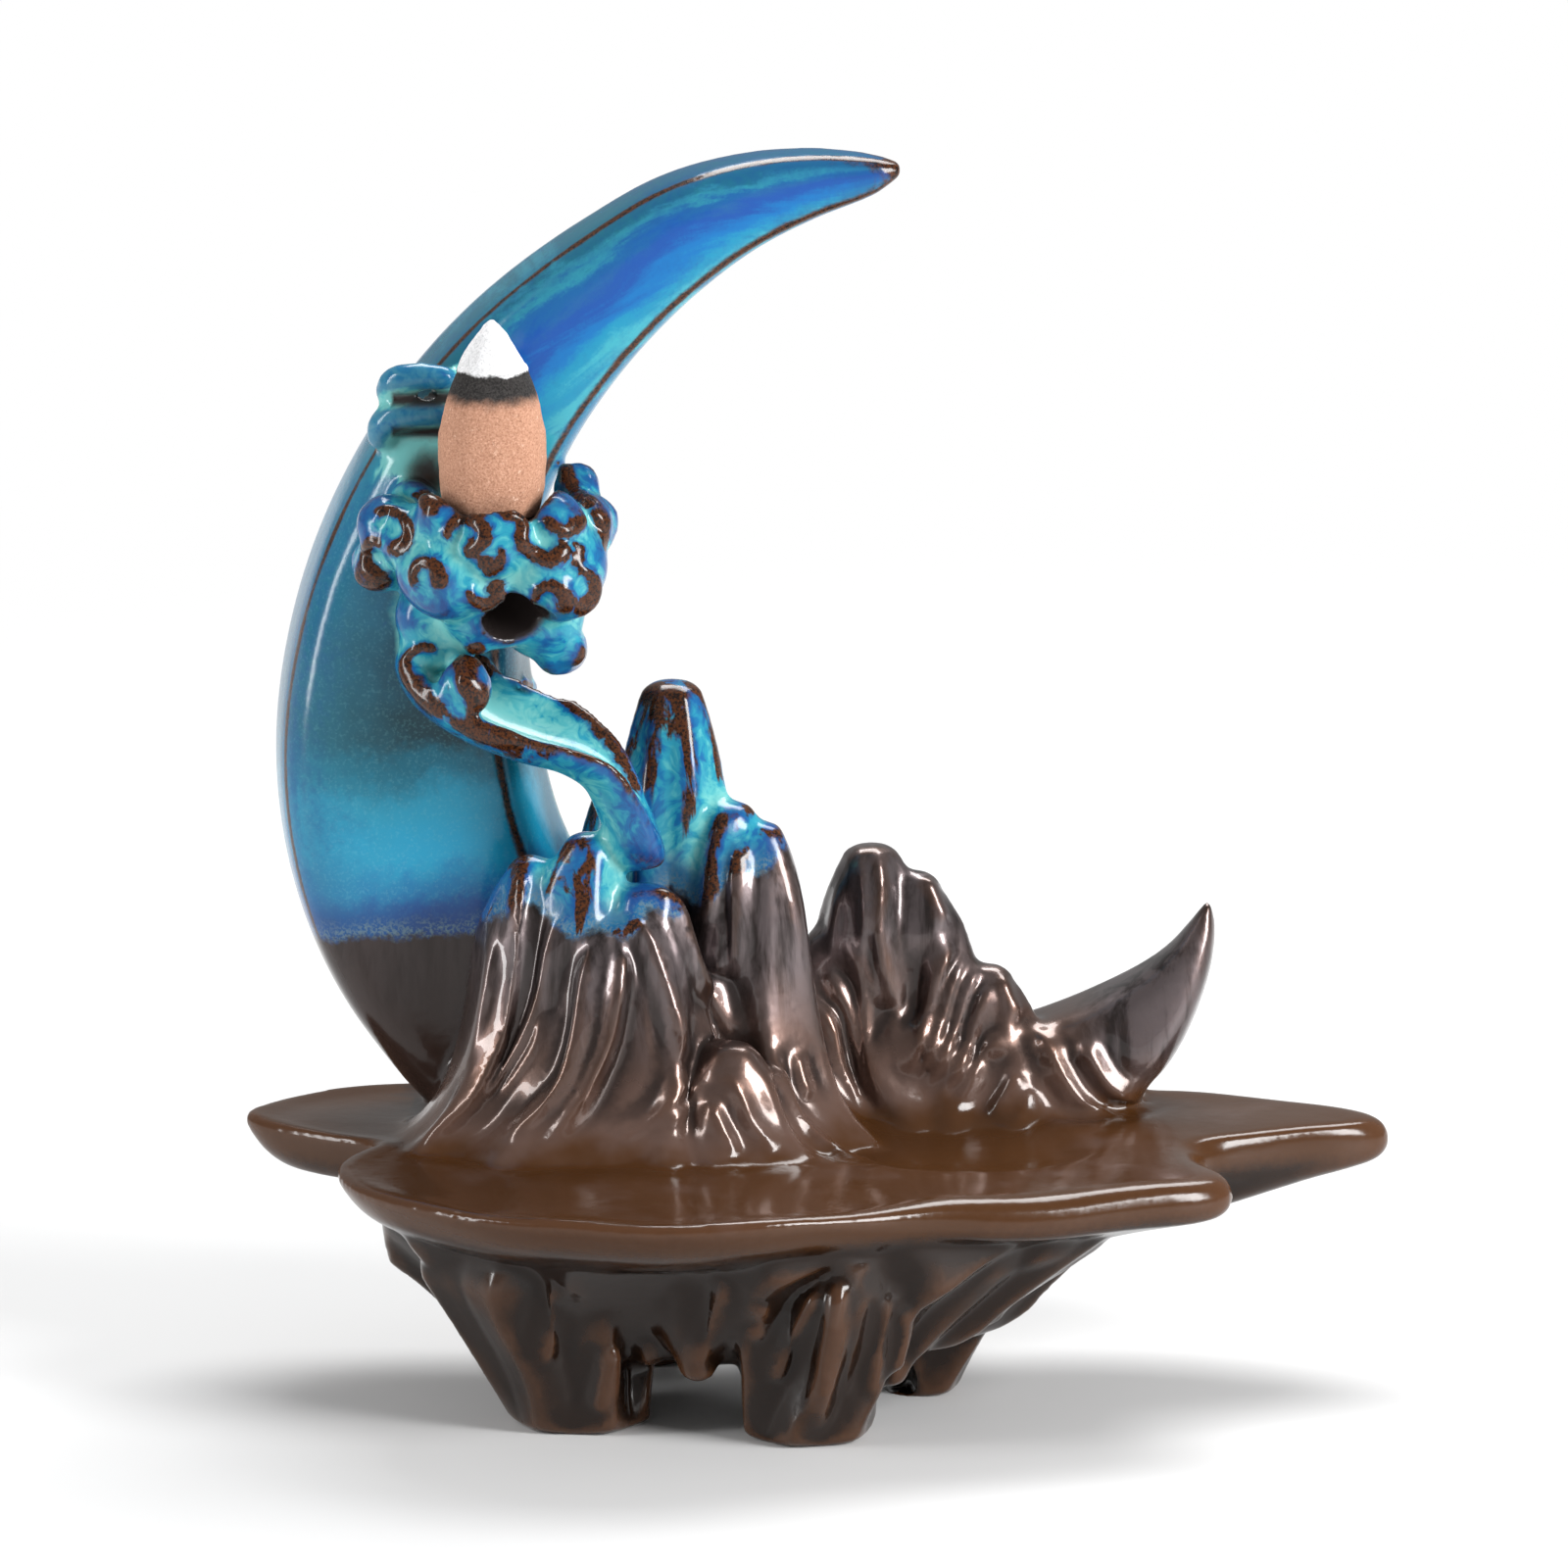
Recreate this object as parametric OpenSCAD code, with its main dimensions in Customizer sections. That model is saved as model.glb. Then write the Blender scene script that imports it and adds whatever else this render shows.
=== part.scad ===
// Backflow incense burner: one glazed ceramic casting, a crescent moon standing on a rocky
// plateau with fluted peaks, and a burning incense cone that rests on its cloud.
// X runs to the viewer's right, Y away from the viewer and Z up, in millimetres.

/* [Crescent moon] */
// Radius of the outer edge at the back of the crescent
moon_r = 77; // [75:0.2:79]
// Width of the crescent at its fullest, seen from the front
moon_w = 35; // [32:0.5:37]
// Thickness of the crescent from front to back
moon_d = 21; // [18:0.5:23]
// Height of the crescent's centre above the plateau
moon_rise = 51.5; // [50:0.25:53]

/* [Plateau] */
// Height of the plateau's top above the table
plate_h = 33.5; // [30:0.5:38]
// Thickness of the plateau's rounded edge
plate_t = 6.5; // [5.5:0.25:7.5]
// Half length of the plateau, from the middle to a side tongue's tip
plate_rx = 76.5; // [74:0.5:79]
// Half depth of the plateau, from the middle to its front bulge
plate_ry = 40; // [38:0.5:42]
// Depth of the shallow pool where the smoke gathers
pool_d = 2.4; // [1.5:0.1:3]

/* [Peaks] */
// Height of the tallest peak above the plateau
peak_h = 59.5; // [56:0.5:64]
// How deep the folds run into the peaks, as a share of their radius
fold = 0.2; // [0.1:0.01:0.26]

/* [Base] */
// Width of a foot where it stands on the table
foot_w = 13; // [11:0.5:14]
// Width of the hollow that opens under the base, from its left end to its right
hollow_w = 46; // [36:1:52]

/* [Cloud and chute] */
// How far round the crescent the cone's seat lies, in degrees from the viewer's right
seat_turn = 144.6; // [143.5:0.1:145.5]
// Width of the flat seat that the cone stands on
seat_w = 16.5; // [15.5:0.25:17.5]
// Bore of the smoke passage through the cloud
smoke_bore = 6.6; // [6.2:0.1:7.2]
// Half width that the smoke chute is measured by, as a share of the crescent's radius
chute_share = 0.078; // [0.065:0.001:0.086]

/* [Incense cone] */
// Widest width of the cone, a little above its foot
cone_w = 14.2; // [12:0.2:15]
// Height of the cone with its ash
cone_h = 25.6; // [22:0.2:30]
// Bore up the cone that lets the smoke sink
cone_bore = 3; // [2:0.1:3.6]

/* [Hidden] */
$fn = 24;

// The crescent stands upright over the plateau: its centre, and its front face
moon_x = 5;
moon_y = 26;
moon_z = plate_h + moon_rise;
moon_front = moon_y - moon_d / 2;

// The cone stands just in front of the crescent, in a cup in the cloud
cone_gap = 4;
seat_out = 0.7535 * moon_r;
cone_x = moon_x + seat_out * cos(seat_turn);
cone_y = moon_front - cone_gap - cone_w / 2;
seat_z = moon_z + seat_out * sin(seat_turn);
seat_clearance = 0.05;
chute_w = chute_share * moon_r;

plate_under = plate_h - plate_t;
sunk = 4;

// A smooth curve through rows of numbers whose first column is the position along it
function span(rows, t, i = 0) = (i >= len(rows) - 2 || t <= rows[i + 1][0]) ? i : span(rows, t, i + 1);
function slope(rows, i, col) =
    let (a = rows[max(i - 1, 0)], b = rows[min(i + 1, len(rows) - 1)])
    (b[col] - a[col]) / (b[0] - a[0]);
function smooth(rows, t, col) =
    let (
        i = span(rows, t), a = rows[i], b = rows[i + 1], w = b[0] - a[0], u = (t - a[0]) / w,
        ma = slope(rows, i, col) * w, mb = slope(rows, i + 1, col) * w
    )
    a[col] * (2 * u * u * u - 3 * u * u + 1) + ma * (u * u * u - 2 * u * u + u)
    + b[col] * (3 * u * u - 2 * u * u * u) + mb * (u * u * u - u * u);

// A closed skin over rings of points that turn anticlockwise about the way the rings travel,
// with a fan over each end
module skin(rings) {
    n = len(rings[0]);
    m = len(rings);
    points = concat([for (r = rings) each r], [centre_of(rings[0]), centre_of(rings[m - 1])]);
    sides = [
        for (k = [0 : m - 2], i = [0 : n - 1])
            let (j = (i + 1) % n, a = k * n + i, b = k * n + j)
            each [[b, a, a + n], [b, a + n, b + n]]
    ];
    ends = [
        for (i = [0 : n - 1])
            let (j = (i + 1) % n, last = (m - 1) * n)
            each [[i, j, m * n], [last + j, last + i, m * n + 1]]
    ];
    polyhedron(points, concat(sides, ends), convexity = 10);
}
function centre_of(ring) = [for (c = [0 : 2]) mean([for (p = ring) p[c]])];
function mean(v) = v * [for (x = v) 1] / len(v);

// A rounded box as a ring, squarer as the power rises
function squarish(a, power) =
    [sign(cos(a)) * pow(abs(cos(a)), 2 / power), sign(sin(a)) * pow(abs(sin(a)), 2 / power)];

// The crescent by angle round its centre, from the upper horn's tip to the lower one's. Each
// row is the angle, the outer edge as a share of moon_r, the width as a share of moon_w, and
// the thickness and how far the section is set back as shares of moon_d

moon_rows = [
    [85.3, 0.992, 0.05, 0.11, 0], [88, 1.003, 0.15, 0.25, 0], [94, 1.015, 0.255, 0.38, 0],
    [101, 1.021, 0.352, 0.50, 0], [109, 1.018, 0.448, 0.64, 0], [118, 1.0, 0.514, 0.76, 0],
    [129, 0.990, 0.60, 0.87, 0], [150, 0.983, 0.755, 1.0, 0], [168, 0.989, 0.875, 1.0, 0],
    [185, 1.003, 0.968, 1.0, 0], [200, 1.010, 1.0, 1.0, 0], [212, 1.004, 0.994, 1.0, 0],
    [228, 0.975, 0.93, 1.0, 0.02], [246, 0.81, 0.55, 0.94, 0.14], [268, 0.742, 0.37, 0.88, 0.18],
    [290, 0.79, 0.43, 0.86, 0.18], [300, 0.832, 0.488, 0.82, 0.2], [311, 0.824, 0.41, 0.72, 0.2],
    [322.6, 0.771, 0.215, 0.45, 0.2], [329, 0.731, 0.11, 0.24, 0.2], [332.8, 0.698, 0.03, 0.09, 0.2]
];
// The front face is drawn in from the outer edge, and the inner wall slopes out to the back
moon_bevel = 0.11;
moon_slant = 0.2;
moon_steps = 33;
moon_sides = 16;
moon_power = 3.4;

function ease(low, high, t) =
    let (u = min(1, max(0, (t - low) / (high - low)))) u * u * (3 - 2 * u);
function moon_ring(t) =
    let (
        half = moon_w * smooth(moon_rows, t, 2) / 2, mid = moon_r * smooth(moon_rows, t, 1) - half,
        deep = moon_d * smooth(moon_rows, t, 3) / 2, back = moon_d * smooth(moon_rows, t, 4),
        slant = deep * (0.12 + 1.6 * moon_slant * ease(150, 176, t) * (1 - ease(222, 246, t)))
    )
    [for (i = [0 : moon_sides - 1])
        let (
            s = squarish(360 * (i + 0.5) / moon_sides, moon_power),
            shift = s[0] > 0 ? -2 * moon_bevel * deep * s[0] * (1 - s[1]) / 2
                : slant * s[0] * ((1 + s[1]) / 2 - 0.25),
            r = mid + half * s[0] + shift
        )
        [moon_x + r * cos(t), moon_y + back + deep * s[1], moon_z + r * sin(t)]];

module crescent() {
    from = moon_rows[0][0];
    to = moon_rows[len(moon_rows) - 1][0];
    skin([for (k = [0 : moon_steps])
        let (u = k / moon_steps) moon_ring(from + (to - from) * (u - 0.09 * sin(360 * u)))]);
}

// The peaks. Each row is the summit's x, y and height above the plateau as a share of
// peak_h, the crown's radius, how far the foot leans out in x and y, the foot's radii in x
// and y, the number of folds, the first fold's angle and how far the folds turn on the way down

peaks = [
    // The left massif: its body, then the peaks from the tallest round to the front mound
    [-26, 17, 0.42, 9, -2, -1, 28, 19, 8, 20, 14],
    [-19, 20, 1.00, 3.0, 0.5, -1, 15, 14, 6, 12, -12],
    [-27, 24, 0.74, 2.6, -1, 0, 10, 10, 4, 30, 0],
    [-11.3, 16, 0.74, 2.7, 2, -1, 14, 14, 5, 40, 16],
    [-7.2, 15.5, 0.695, 2.5, 3, -1, 11, 13, 5, 0, 22],
    [-37.6, 9, 0.645, 2.6, -7, 1, 12, 14, 5, 70, -40],
    [-29.9, 8, 0.70, 3.3, -6, -2, 16, 15, 5, 30, -40],
    [-22.4, 6, 0.592, 3.6, 0, -2, 16, 13, 5, 55, -26],
    [-25.4, 2.5, 0.518, 3.2, -5, -1.5, 17, 10, 5, 85, -44],
    [-11.3, 2, 0.25, 3.6, 0.5, -0.5, 14, 9, 5, 60, 20],
    [-12.6, -0.5, 0.198, 2.6, 0.5, -0.5, 9, 6.5, 4, 20, 10],
    // The right massif: its body, then the peaks from the tallest down to the right
    [12, 28.5, 0.24, 8, 2, -0.5, 25, 8.5, 6, 10, 10],
    [7.4, 28.5, 0.597, 3.4, 0, -1, 15, 9, 6, 15, 18],
    [13.2, 28.5, 0.534, 2.6, 3, -1, 14, 8, 5, 30, 16],
    [1.6, 27.5, 0.408, 3.0, 0, -1, 11, 9, 5, 40, -24],
    [-1.2, 25.5, 0.319, 3.0, 2, -1, 11, 8, 4, 75, -20],
    [-2.2, 23.5, 0.265, 2.4, 2, -0.5, 8.5, 6.5, 4, 20, -10],
    [17.8, 28, 0.389, 2.8, -2, -1, 12, 9, 5, 0, 26],
    [23, 27.5, 0.325, 2.8, 0, -1, 13, 9, 5, 35, 26],
    [27.4, 26.5, 0.204, 3.2, 0, -1, 13, 8.5, 5, 0, 20],
    [29.2, 24.3, 0.117, 2.2, 0.5, -0.5, 8, 6, 4, 30, 10]
];
// How far a peak's foot runs out over the plateau
foot_run = 2.4;
// A fold across its width: the valley, a flank, the ridge and the other flank
crown_fold = [-1, 0.3, 0.7, 0.3];
foot_fold = [-0.5, -0.3, 1, -0.3];
dome_levels = [0, 0.3, 1];
tall_levels = [0.11, 0.29, 0.53, 0.8, 1];
low_levels = [0.18, 0.6, 1];

// How far a peak has spread at a share t of the way down from its crown to its foot
function spread(t) = 0.2 * (1 - pow(1 - min(t / 0.28, 1), 2)) + 0.32 * t + 0.48 * pow(t, 4.6);

function peak_ring(p, down, t, round_share) =
    let (
        cut = fold * (0.5 + 0.6 * min(t / 0.4, 1) - 0.5 * pow(t, 5)), n = 4 * p[8],
        run = foot_run * min(1, 4 * p[2]) * exp(-max(down - plate_h, 0) / (1.1 * foot_run)),
        rx = p[3] + (p[6] - p[3]) * spread(t) + run, ry = p[3] + (p[7] - p[3]) * spread(t) + run
    )
    [for (i = [0 : n - 1])
        let (
            a = p[9] + 360 * i / n + p[10] * pow(t, 1.4),
            depth = 0.75 + 0.35 * sin(137 * floor(i / 4) + 90 * t),
            shape = crown_fold[i % 4] * (1 - t) + foot_fold[i % 4] * t,
            f = round_share * (1 + cut * depth * shape)
        )
        [p[0] + p[4] * spread(t) + rx * f * cos(a), p[1] + p[5] * spread(t) + ry * f * sin(a), down]];

module peak(p) {
    top = plate_h + p[2] * peak_h;
    foot = plate_h - sunk;
    dome = p[3] * 0.9;
    flank = top - dome - foot;
    levels = p[2] > 0.33 ? tall_levels : low_levels;
    skin(concat(
        [for (k = [len(levels) - 1 : -1 : 0])
            peak_ring(p, top - dome - flank * levels[k], levels[k], 1)],
        [for (k = [len(dome_levels) - 1 : -1 : 0])
            let (u = dome_levels[k])
            peak_ring(p, top - dome * u, 0, sqrt(max(0.12, 1 - pow(1 - u, 2))))]
    ));
}

module mountains() {
    for (p = peaks) peak(p);
}

// The plateau: an irregular rock ledge with a tongue at either end. Its outline is given as
// shares of plate_rx and plate_ry, anticlockwise from the right-hand notch

plate_outline = [
    [0.655, 0.20], [0.80, 0.33], [0.955, 0.43], [1.003, 0.52], [0.985, 0.65], [0.80, 0.86],
    [0.60, 1.0], [0.25, 0.98], [-0.10, 0.95], [-0.45, 0.98], [-0.74, 1.0], [-0.91, 0.86],
    [-1.003, 0.60], [-0.975, 0.46], [-0.86, 0.30], [-0.745, 0.17], [-0.80, 0.0], [-0.835, -0.22],
    [-0.77, -0.56], [-0.56, -0.90], [-0.31, -1.02], [-0.12, -1.02], [0.03, -0.88], [0.20, -0.72],
    [0.37, -0.645], [0.54, -0.51], [0.69, -0.40], [0.725, -0.28], [0.67, -0.06]
];
function softened(pts, times) = times == 0 ? pts : softened(
    [for (i = [0 : len(pts) - 1])
        let (a = pts[i], b = pts[(i + 1) % len(pts)])
        each [a * 0.75 + b * 0.25, a * 0.25 + b * 0.75]],
    times - 1);
plate_edge_line = [for (p = softened(plate_outline, 1)) [p[0] * plate_rx, p[1] * plate_ry]];

// The rounded edge from the underside to the top: how far in, and the share of plate_t
plate_edge = [[15, -0.35], [5, 0], [1.1, 0.18], [0, 0.5], [0.9, 0.84], [3.4, 1]];

module plateau() {
    skin([for (e = plate_edge)
        [for (p = plate_edge_line)
            let (q = p * (1 - e[0] / norm(p)))
            [q[0], q[1], plate_under + e[1] * plate_t]]]);
}

// The pool is a shallow oval bowl sunk into the plateau
pool_at = [0.235 * plate_rx, 0.137 * plate_ry];
pool_size = [0.255 * plate_rx, 0.35 * plate_ry];
module pool() {
    ball = 40;
    rim = sqrt(ball * ball - (ball - pool_d) * (ball - pool_d));
    translate([pool_at[0], pool_at[1], plate_h + ball - pool_d])
        scale([pool_size[0] / rim, pool_size[1] / rim, 1]) sphere(ball, $fn = 40);
}
module pooled_plateau() {
    difference() {
        plateau();
        pool();
    }
}

// The rocky base is a mountain turned over: a fluted body under the plateau, feet that reach
// the table and rocks that hang short of it

// The body's rings: height as a share of plate_under, and radii in x and y
base_rings = [[0.36, 33, 20], [0.56, 38.5, 24], [0.80, 45.5, 29], [1.04, 53, 34.5]];
base_at = [-10, 1];
base_folds = 11;
module base_body() {
    n = 4 * base_folds;
    skin([for (r = base_rings)
        [for (i = [0 : n - 1])
            let (
                a = 360 * i / n + 24 * r[0], depth = 0.8 + 0.4 * sin(101 * floor(i / 4)),
                f = 1 + 0.5 * fold * depth * foot_fold[i % 4]
            )
            [base_at[0] + r[1] * f * cos(a), base_at[1] + r[2] * f * sin(a), r[0] * plate_under]]]);
}

// Each row is the lower end's x and y, its height as a share of plate_under, its radius as a
// share of foot_w, the root's x, y and radius, and the number of folds
rocks = [
    [-30, -12, 0, 0.54, -38, -11.5, 16, 6],
    [-0.5, -19, 0, 0.47, 1, -16.5, 17, 6],
    [13.5, 6, 0, 0.42, 20, 6, 16, 5],
    [-23, 22, 0, 0.46, -29, 17, 15, 5],
    [-15.5, -21.5, 0.36, 0.18, -17, -19, 11, 4],
    [-36, 7, 0.26, 0.28, -45, 6, 12, 4],
    [10, -12.5, 0.27, 0.20, 18, -14, 12, 4],
    [-4, 24, 0.26, 0.26, -6, 18, 12, 4],
    [22, -8, 0.52, 0.20, 29, -9, 11, 4]
];
function rock_ring(r, s) =
    let (
        tip = r[3] * foot_w, low = r[2] * plate_under, n = 4 * r[7],
        wide = tip + (r[6] - tip) * (0.45 * s + 0.55 * pow(s, 1.8))
    )
    [for (i = [0 : n - 1])
        let (a = 360 * i / n + r[0] * 9 + 30 * s, f = 1 + fold * (0.7 + 1.2 * s * (1 - s)) * foot_fold[i % 4])
        [
            r[0] + (r[4] - r[0]) * s + wide * f * cos(a),
            r[1] + (r[5] - r[1]) * s + wide * f * sin(a) * 0.9,
            low + (0.95 * plate_under - low) * s
        ]];

module rocks() {
    for (r = rocks) skin([for (s = [0, 0.3, 0.66, 1]) rock_ring(r, s)]);
}

// The hollow that opens under the base between its feet
module hollow() {
    translate([base_at[0] + 0.5, base_at[1], -0.5])
        scale([hollow_w / 2, hollow_w * 0.3, plate_under - 7]) sphere(1, $fn = 24);
}

// The cloud that carries the cone. Each lump is x, y and z from the middle of the seat at the
// crescent's face and its radius, all as shares of moon_r, and its curl's turn, or -1 for none

lumps = [
    [0, -0.1169, -0.1234, 0.1169, -1], [-0.0714, -0.1753, -0.0935, 0.0896, 250],
    [0.1026, -0.1623, -0.0909, 0.0948, 320], [0.0078, -0.2078, -0.0442, 0.0727, 60],
    [-0.0753, -0.1883, -0.0338, 0.0597, 120], [0.0961, -0.1753, -0.0338, 0.0623, 30],
    [-0.1766, -0.0909, -0.0312, 0.0571, -1], [-0.1948, -0.0714, -0.1065, 0.0506, -1],
    [-0.1247, -0.1299, -0.0494, 0.0649, -1], [0.1584, -0.1039, -0.0247, 0.0545, -1],
    [0.1429, -0.0519, 0.0208, 0.0442, -1], [0.1143, -0.0844, -0.2468, 0.0468, -1],
    [0.0779, -0.0844, -0.1818, 0.0805, -1], [-0.1091, -0.0779, -0.1896, 0.0623, -1],
    [-0.0935, -0.0649, -0.2338, 0.0675, -1], [-0.1247, -0.039, 0.0208, 0.0545, -1]
];
// The wisps that rise behind the cone, each a line of places, x and z from the crescent's
// centre and y from its face, with a radius, all as shares of moon_r
wisps = [
    [[-0.806, 0.0519, 0.512, 0.0273], [-0.799, 0.0182, 0.558, 0.0299], [-0.749, 0.0026, 0.577, 0.026], [-0.679, 0.0026, 0.577, 0.0208]],
    [[-0.792, 0.0519, 0.588, 0.026], [-0.783, 0.0208, 0.629, 0.0286], [-0.736, 0.0052, 0.642, 0.0247], [-0.674, 0.0078, 0.636, 0.0195]]
];
bead_fn = 6;

function cloud_at(x, y, z) = [cone_x, moon_front, seat_z] + moon_r * [x, y, z];

// A row of beads of any size, joined into one smooth rope
module rope(places, radii) {
    for (k = [0 : len(places) - 2]) hull() {
        translate(places[k]) sphere(radii[k], $fn = bead_fn);
        translate(places[k + 1]) sphere(radii[k + 1], $fn = bead_fn);
    }
}

// A raised curl on the front of a ball: a rope that winds in from a thin tail to a fat head
curl_steps = 4;
module curl(at, ball, turn, hand) {
    places = [for (k = [0 : curl_steps])
        let (
            u = k / curl_steps, a = turn + hand * 250 * u, e = ball * (0.66 - 0.46 * u),
            g = sqrt(ball * ball - e * e) - 0.1
        )
        at + [e * cos(a), -g, e * sin(a)]];
    rope(places, [for (k = [0 : curl_steps]) ball * (0.12 + 0.13 * k / curl_steps)]);
}

module cloud() {
    for (k = [0 : len(lumps) - 1]) {
        l = lumps[k];
        translate(cloud_at(l[0], l[1], l[2])) sphere(moon_r * l[3], $fn = l[3] > 0.065 ? 12 : 8);
        if (l[4] >= 0) curl(cloud_at(l[0], l[1], l[2]), moon_r * l[3], l[4], k % 2 == 0 ? 1 : -1);
    }
    for (w = wisps) rope(
        [for (p = w) [moon_x, moon_front, moon_z] + moon_r * [p[0], p[1], p[2]]],
        [for (p = w) moon_r * p[3]]);
}

// The smoke's way: the cup round the seat, and the passage down to a mouth under the cloud
mouth_at = cloud_at(0.0468, -0.2156, -0.1792);
bend_drop = 9;
module smoke_way() {
    bend = [cone_x, cone_y, seat_z - bend_drop];
    translate([cone_x, cone_y, seat_z]) cylinder(d = seat_w, h = 12, $fn = 24);
    translate(bend) cylinder(d = smoke_bore, h = bend_drop + 1, $fn = 18);
    hull() {
        translate(bend) sphere(d = smoke_bore, $fn = 12);
        translate(mouth_at) sphere(d = smoke_bore + 1.4, $fn = 12);
    }
}

// The chute: a wide trough that swells out of the crescent under the cloud, narrows and
// pours down to the peaks. Each row is a place along it, its middle's x and z from the
// crescent's centre as shares of moon_r, how far it stands out from the crescent's face, its
// half width and half height as shares of chute_w, and its groove's depth as a share of its
// half height

chute_rows = [
    [0, -0.758, 0.180, 0.45, 0.62, 0.50, 0.4], [1, -0.704, 0.138, 0.86, 1.12, 0.84, 0.8],
    [2, -0.629, 0.100, 1.16, 1.36, 0.92, 1.0], [3, -0.548, 0.067, 1.30, 1.36, 0.88, 1.0],
    [4, -0.473, 0.040, 1.45, 1.14, 0.82, 0.95], [5, -0.408, -0.006, 1.52, 0.90, 0.84, 0.8],
    [6, -0.375, -0.083, 1.42, 0.78, 0.82, 0.5], [7, -0.361, -0.153, 1.35, 0.66, 0.68, 0.2],
    [8, -0.356, -0.194, 1.35, 0.38, 0.42, 0]
];
chute_steps = 14;
chute_sides = 12;
// How far the far lip stands higher than the near one, in degrees
chute_tilt = 13;
function chute_at(t) = [
    moon_x + moon_r * smooth(chute_rows, t, 1), moon_front - chute_w * smooth(chute_rows, t, 3),
    moon_z + moon_r * smooth(chute_rows, t, 2)
];
function chute_ring(t) =
    let (
        ahead = chute_at(t + 0.05) - chute_at(t - 0.05), f = ahead / norm(ahead),
        flat = [0, 1, 0] - f * f[1], level = flat / norm(flat), above = cross(f, level),
        tilt = chute_tilt * (1 - ease(3.5, 6, t)),
        side = level * cos(tilt) + above * sin(tilt), up = above * cos(tilt) - level * sin(tilt),
        wide = chute_w * smooth(chute_rows, t, 4), tall = chute_w * smooth(chute_rows, t, 5),
        groove = smooth(chute_rows, t, 6)
    )
    [for (i = [0 : chute_sides - 1])
        let (
            a = 360 * (i + 0.5) / chute_sides,
            rise = sin(a) - groove * 1.2 * pow(max(0, sin(a)), 2)
        )
        chute_at(t) + side * wide * cos(a) + up * tall * rise];

module chute() {
    last = chute_rows[len(chute_rows) - 1][0];
    skin([for (k = [0 : chute_steps]) chute_ring(0.05 + (last - 0.1) * k / chute_steps)]);
    // The curl stands on the near lip, about one row in from the chute's left end
    translate(chute_at(1.6) + chute_w * [0, -0.85, 0.2]) {
        sphere(0.6 * chute_w, $fn = 12);
        curl([0, 0, 0], 0.6 * chute_w, 160, -1);
    }
}

// The whole casting
module burner_body() {
    color("saddlebrown") difference() {
        union() {
            crescent();
            mountains();
            pooled_plateau();
            base_body();
            rocks();
            cloud();
            chute();
        }
        hollow();
        smoke_way();
    }
}

// The incense cone: a blunt bullet, bored from its foot, with a cap of ash on its tip. The
// side from the foot up: the height as a share of cone_h, and the radius as a share of half
// of cone_w. The ash begins where a height comes twice

cone_side = [
    [0, 0.86], [0.04, 0.90], [0.14, 0.965], [0.28, 1.0], [0.42, 0.975], [0.56, 0.88], [0.68, 0.735],
    [0.742, 0.645], [0.742, 0.665], [0.80, 0.56], [0.87, 0.41], [0.93, 0.27], [0.975, 0.14], [1, 0.04]
];
bore_share = 0.62;

module incense_cone() {
    color("peru") translate([cone_x, cone_y, seat_z + seat_clearance]) difference() {
        rotate_extrude($fn = 48) polygon(concat(
            [[0, 0]],
            [for (s = cone_side) [s[1] * cone_w / 2, s[0] * cone_h]],
            [[0, cone_h]]
        ));
        translate([0, 0, -1]) cylinder(d = cone_bore, h = 1 + cone_h * bore_share, $fn = 24);
    }
}

burner_body();
incense_cone();
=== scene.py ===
import math
from functools import partial

import bmesh
import bpy
import numpy as np
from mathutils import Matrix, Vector, noise
from mathutils.bvhtree import BVHTree


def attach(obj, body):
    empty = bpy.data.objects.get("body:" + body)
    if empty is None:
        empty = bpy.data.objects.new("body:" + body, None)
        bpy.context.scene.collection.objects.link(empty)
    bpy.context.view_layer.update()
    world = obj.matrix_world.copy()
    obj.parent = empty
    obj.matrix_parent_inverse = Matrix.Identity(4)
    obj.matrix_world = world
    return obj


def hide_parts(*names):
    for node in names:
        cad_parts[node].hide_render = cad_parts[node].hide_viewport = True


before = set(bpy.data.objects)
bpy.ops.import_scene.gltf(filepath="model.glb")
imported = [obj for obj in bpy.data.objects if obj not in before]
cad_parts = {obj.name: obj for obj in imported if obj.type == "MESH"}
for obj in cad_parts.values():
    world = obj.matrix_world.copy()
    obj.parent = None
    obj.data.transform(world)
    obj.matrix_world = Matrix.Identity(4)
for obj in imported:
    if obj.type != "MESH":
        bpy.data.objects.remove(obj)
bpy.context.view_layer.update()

mm = 0.001
print("frame loaded")

# The camera, as fitted to the photograph, which is as wide and as high as "pixels" says
view = {
    "lookAt": (-0.0042, 0, 0.0833),
    "tilt": 12.5,
    "far": 2.28,
    "lens": 400,
    "sensor": 36,
    "pixels": 1600,
}


def photoSpot(across, down):
    # x and z, to a tenth of a millimetre, of a spot of the photograph on the upright plane
    # through the middle
    tilt = math.radians(view["tilt"])
    focus = view["lens"] / view["sensor"] * view["pixels"]
    a, b = (across - view["pixels"] / 2) / focus, (down - view["pixels"] / 2) / focus
    far = view["far"] / mm
    reach = far * math.cos(tilt) / (math.cos(tilt) - b * math.sin(tilt))
    x = view["lookAt"][0] / mm + reach * a
    z = view["lookAt"][2] / mm + far * math.sin(tilt) - reach * (math.sin(tilt) + b * math.cos(tilt))
    return round(x, 1), round(z, 1)


# The sculpt is worked in millimetres, in the model's own frame, and brought to metres once

plateTop = 33.5
plateThick = 6.5
plateUnder = plateTop - plateThick

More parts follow.
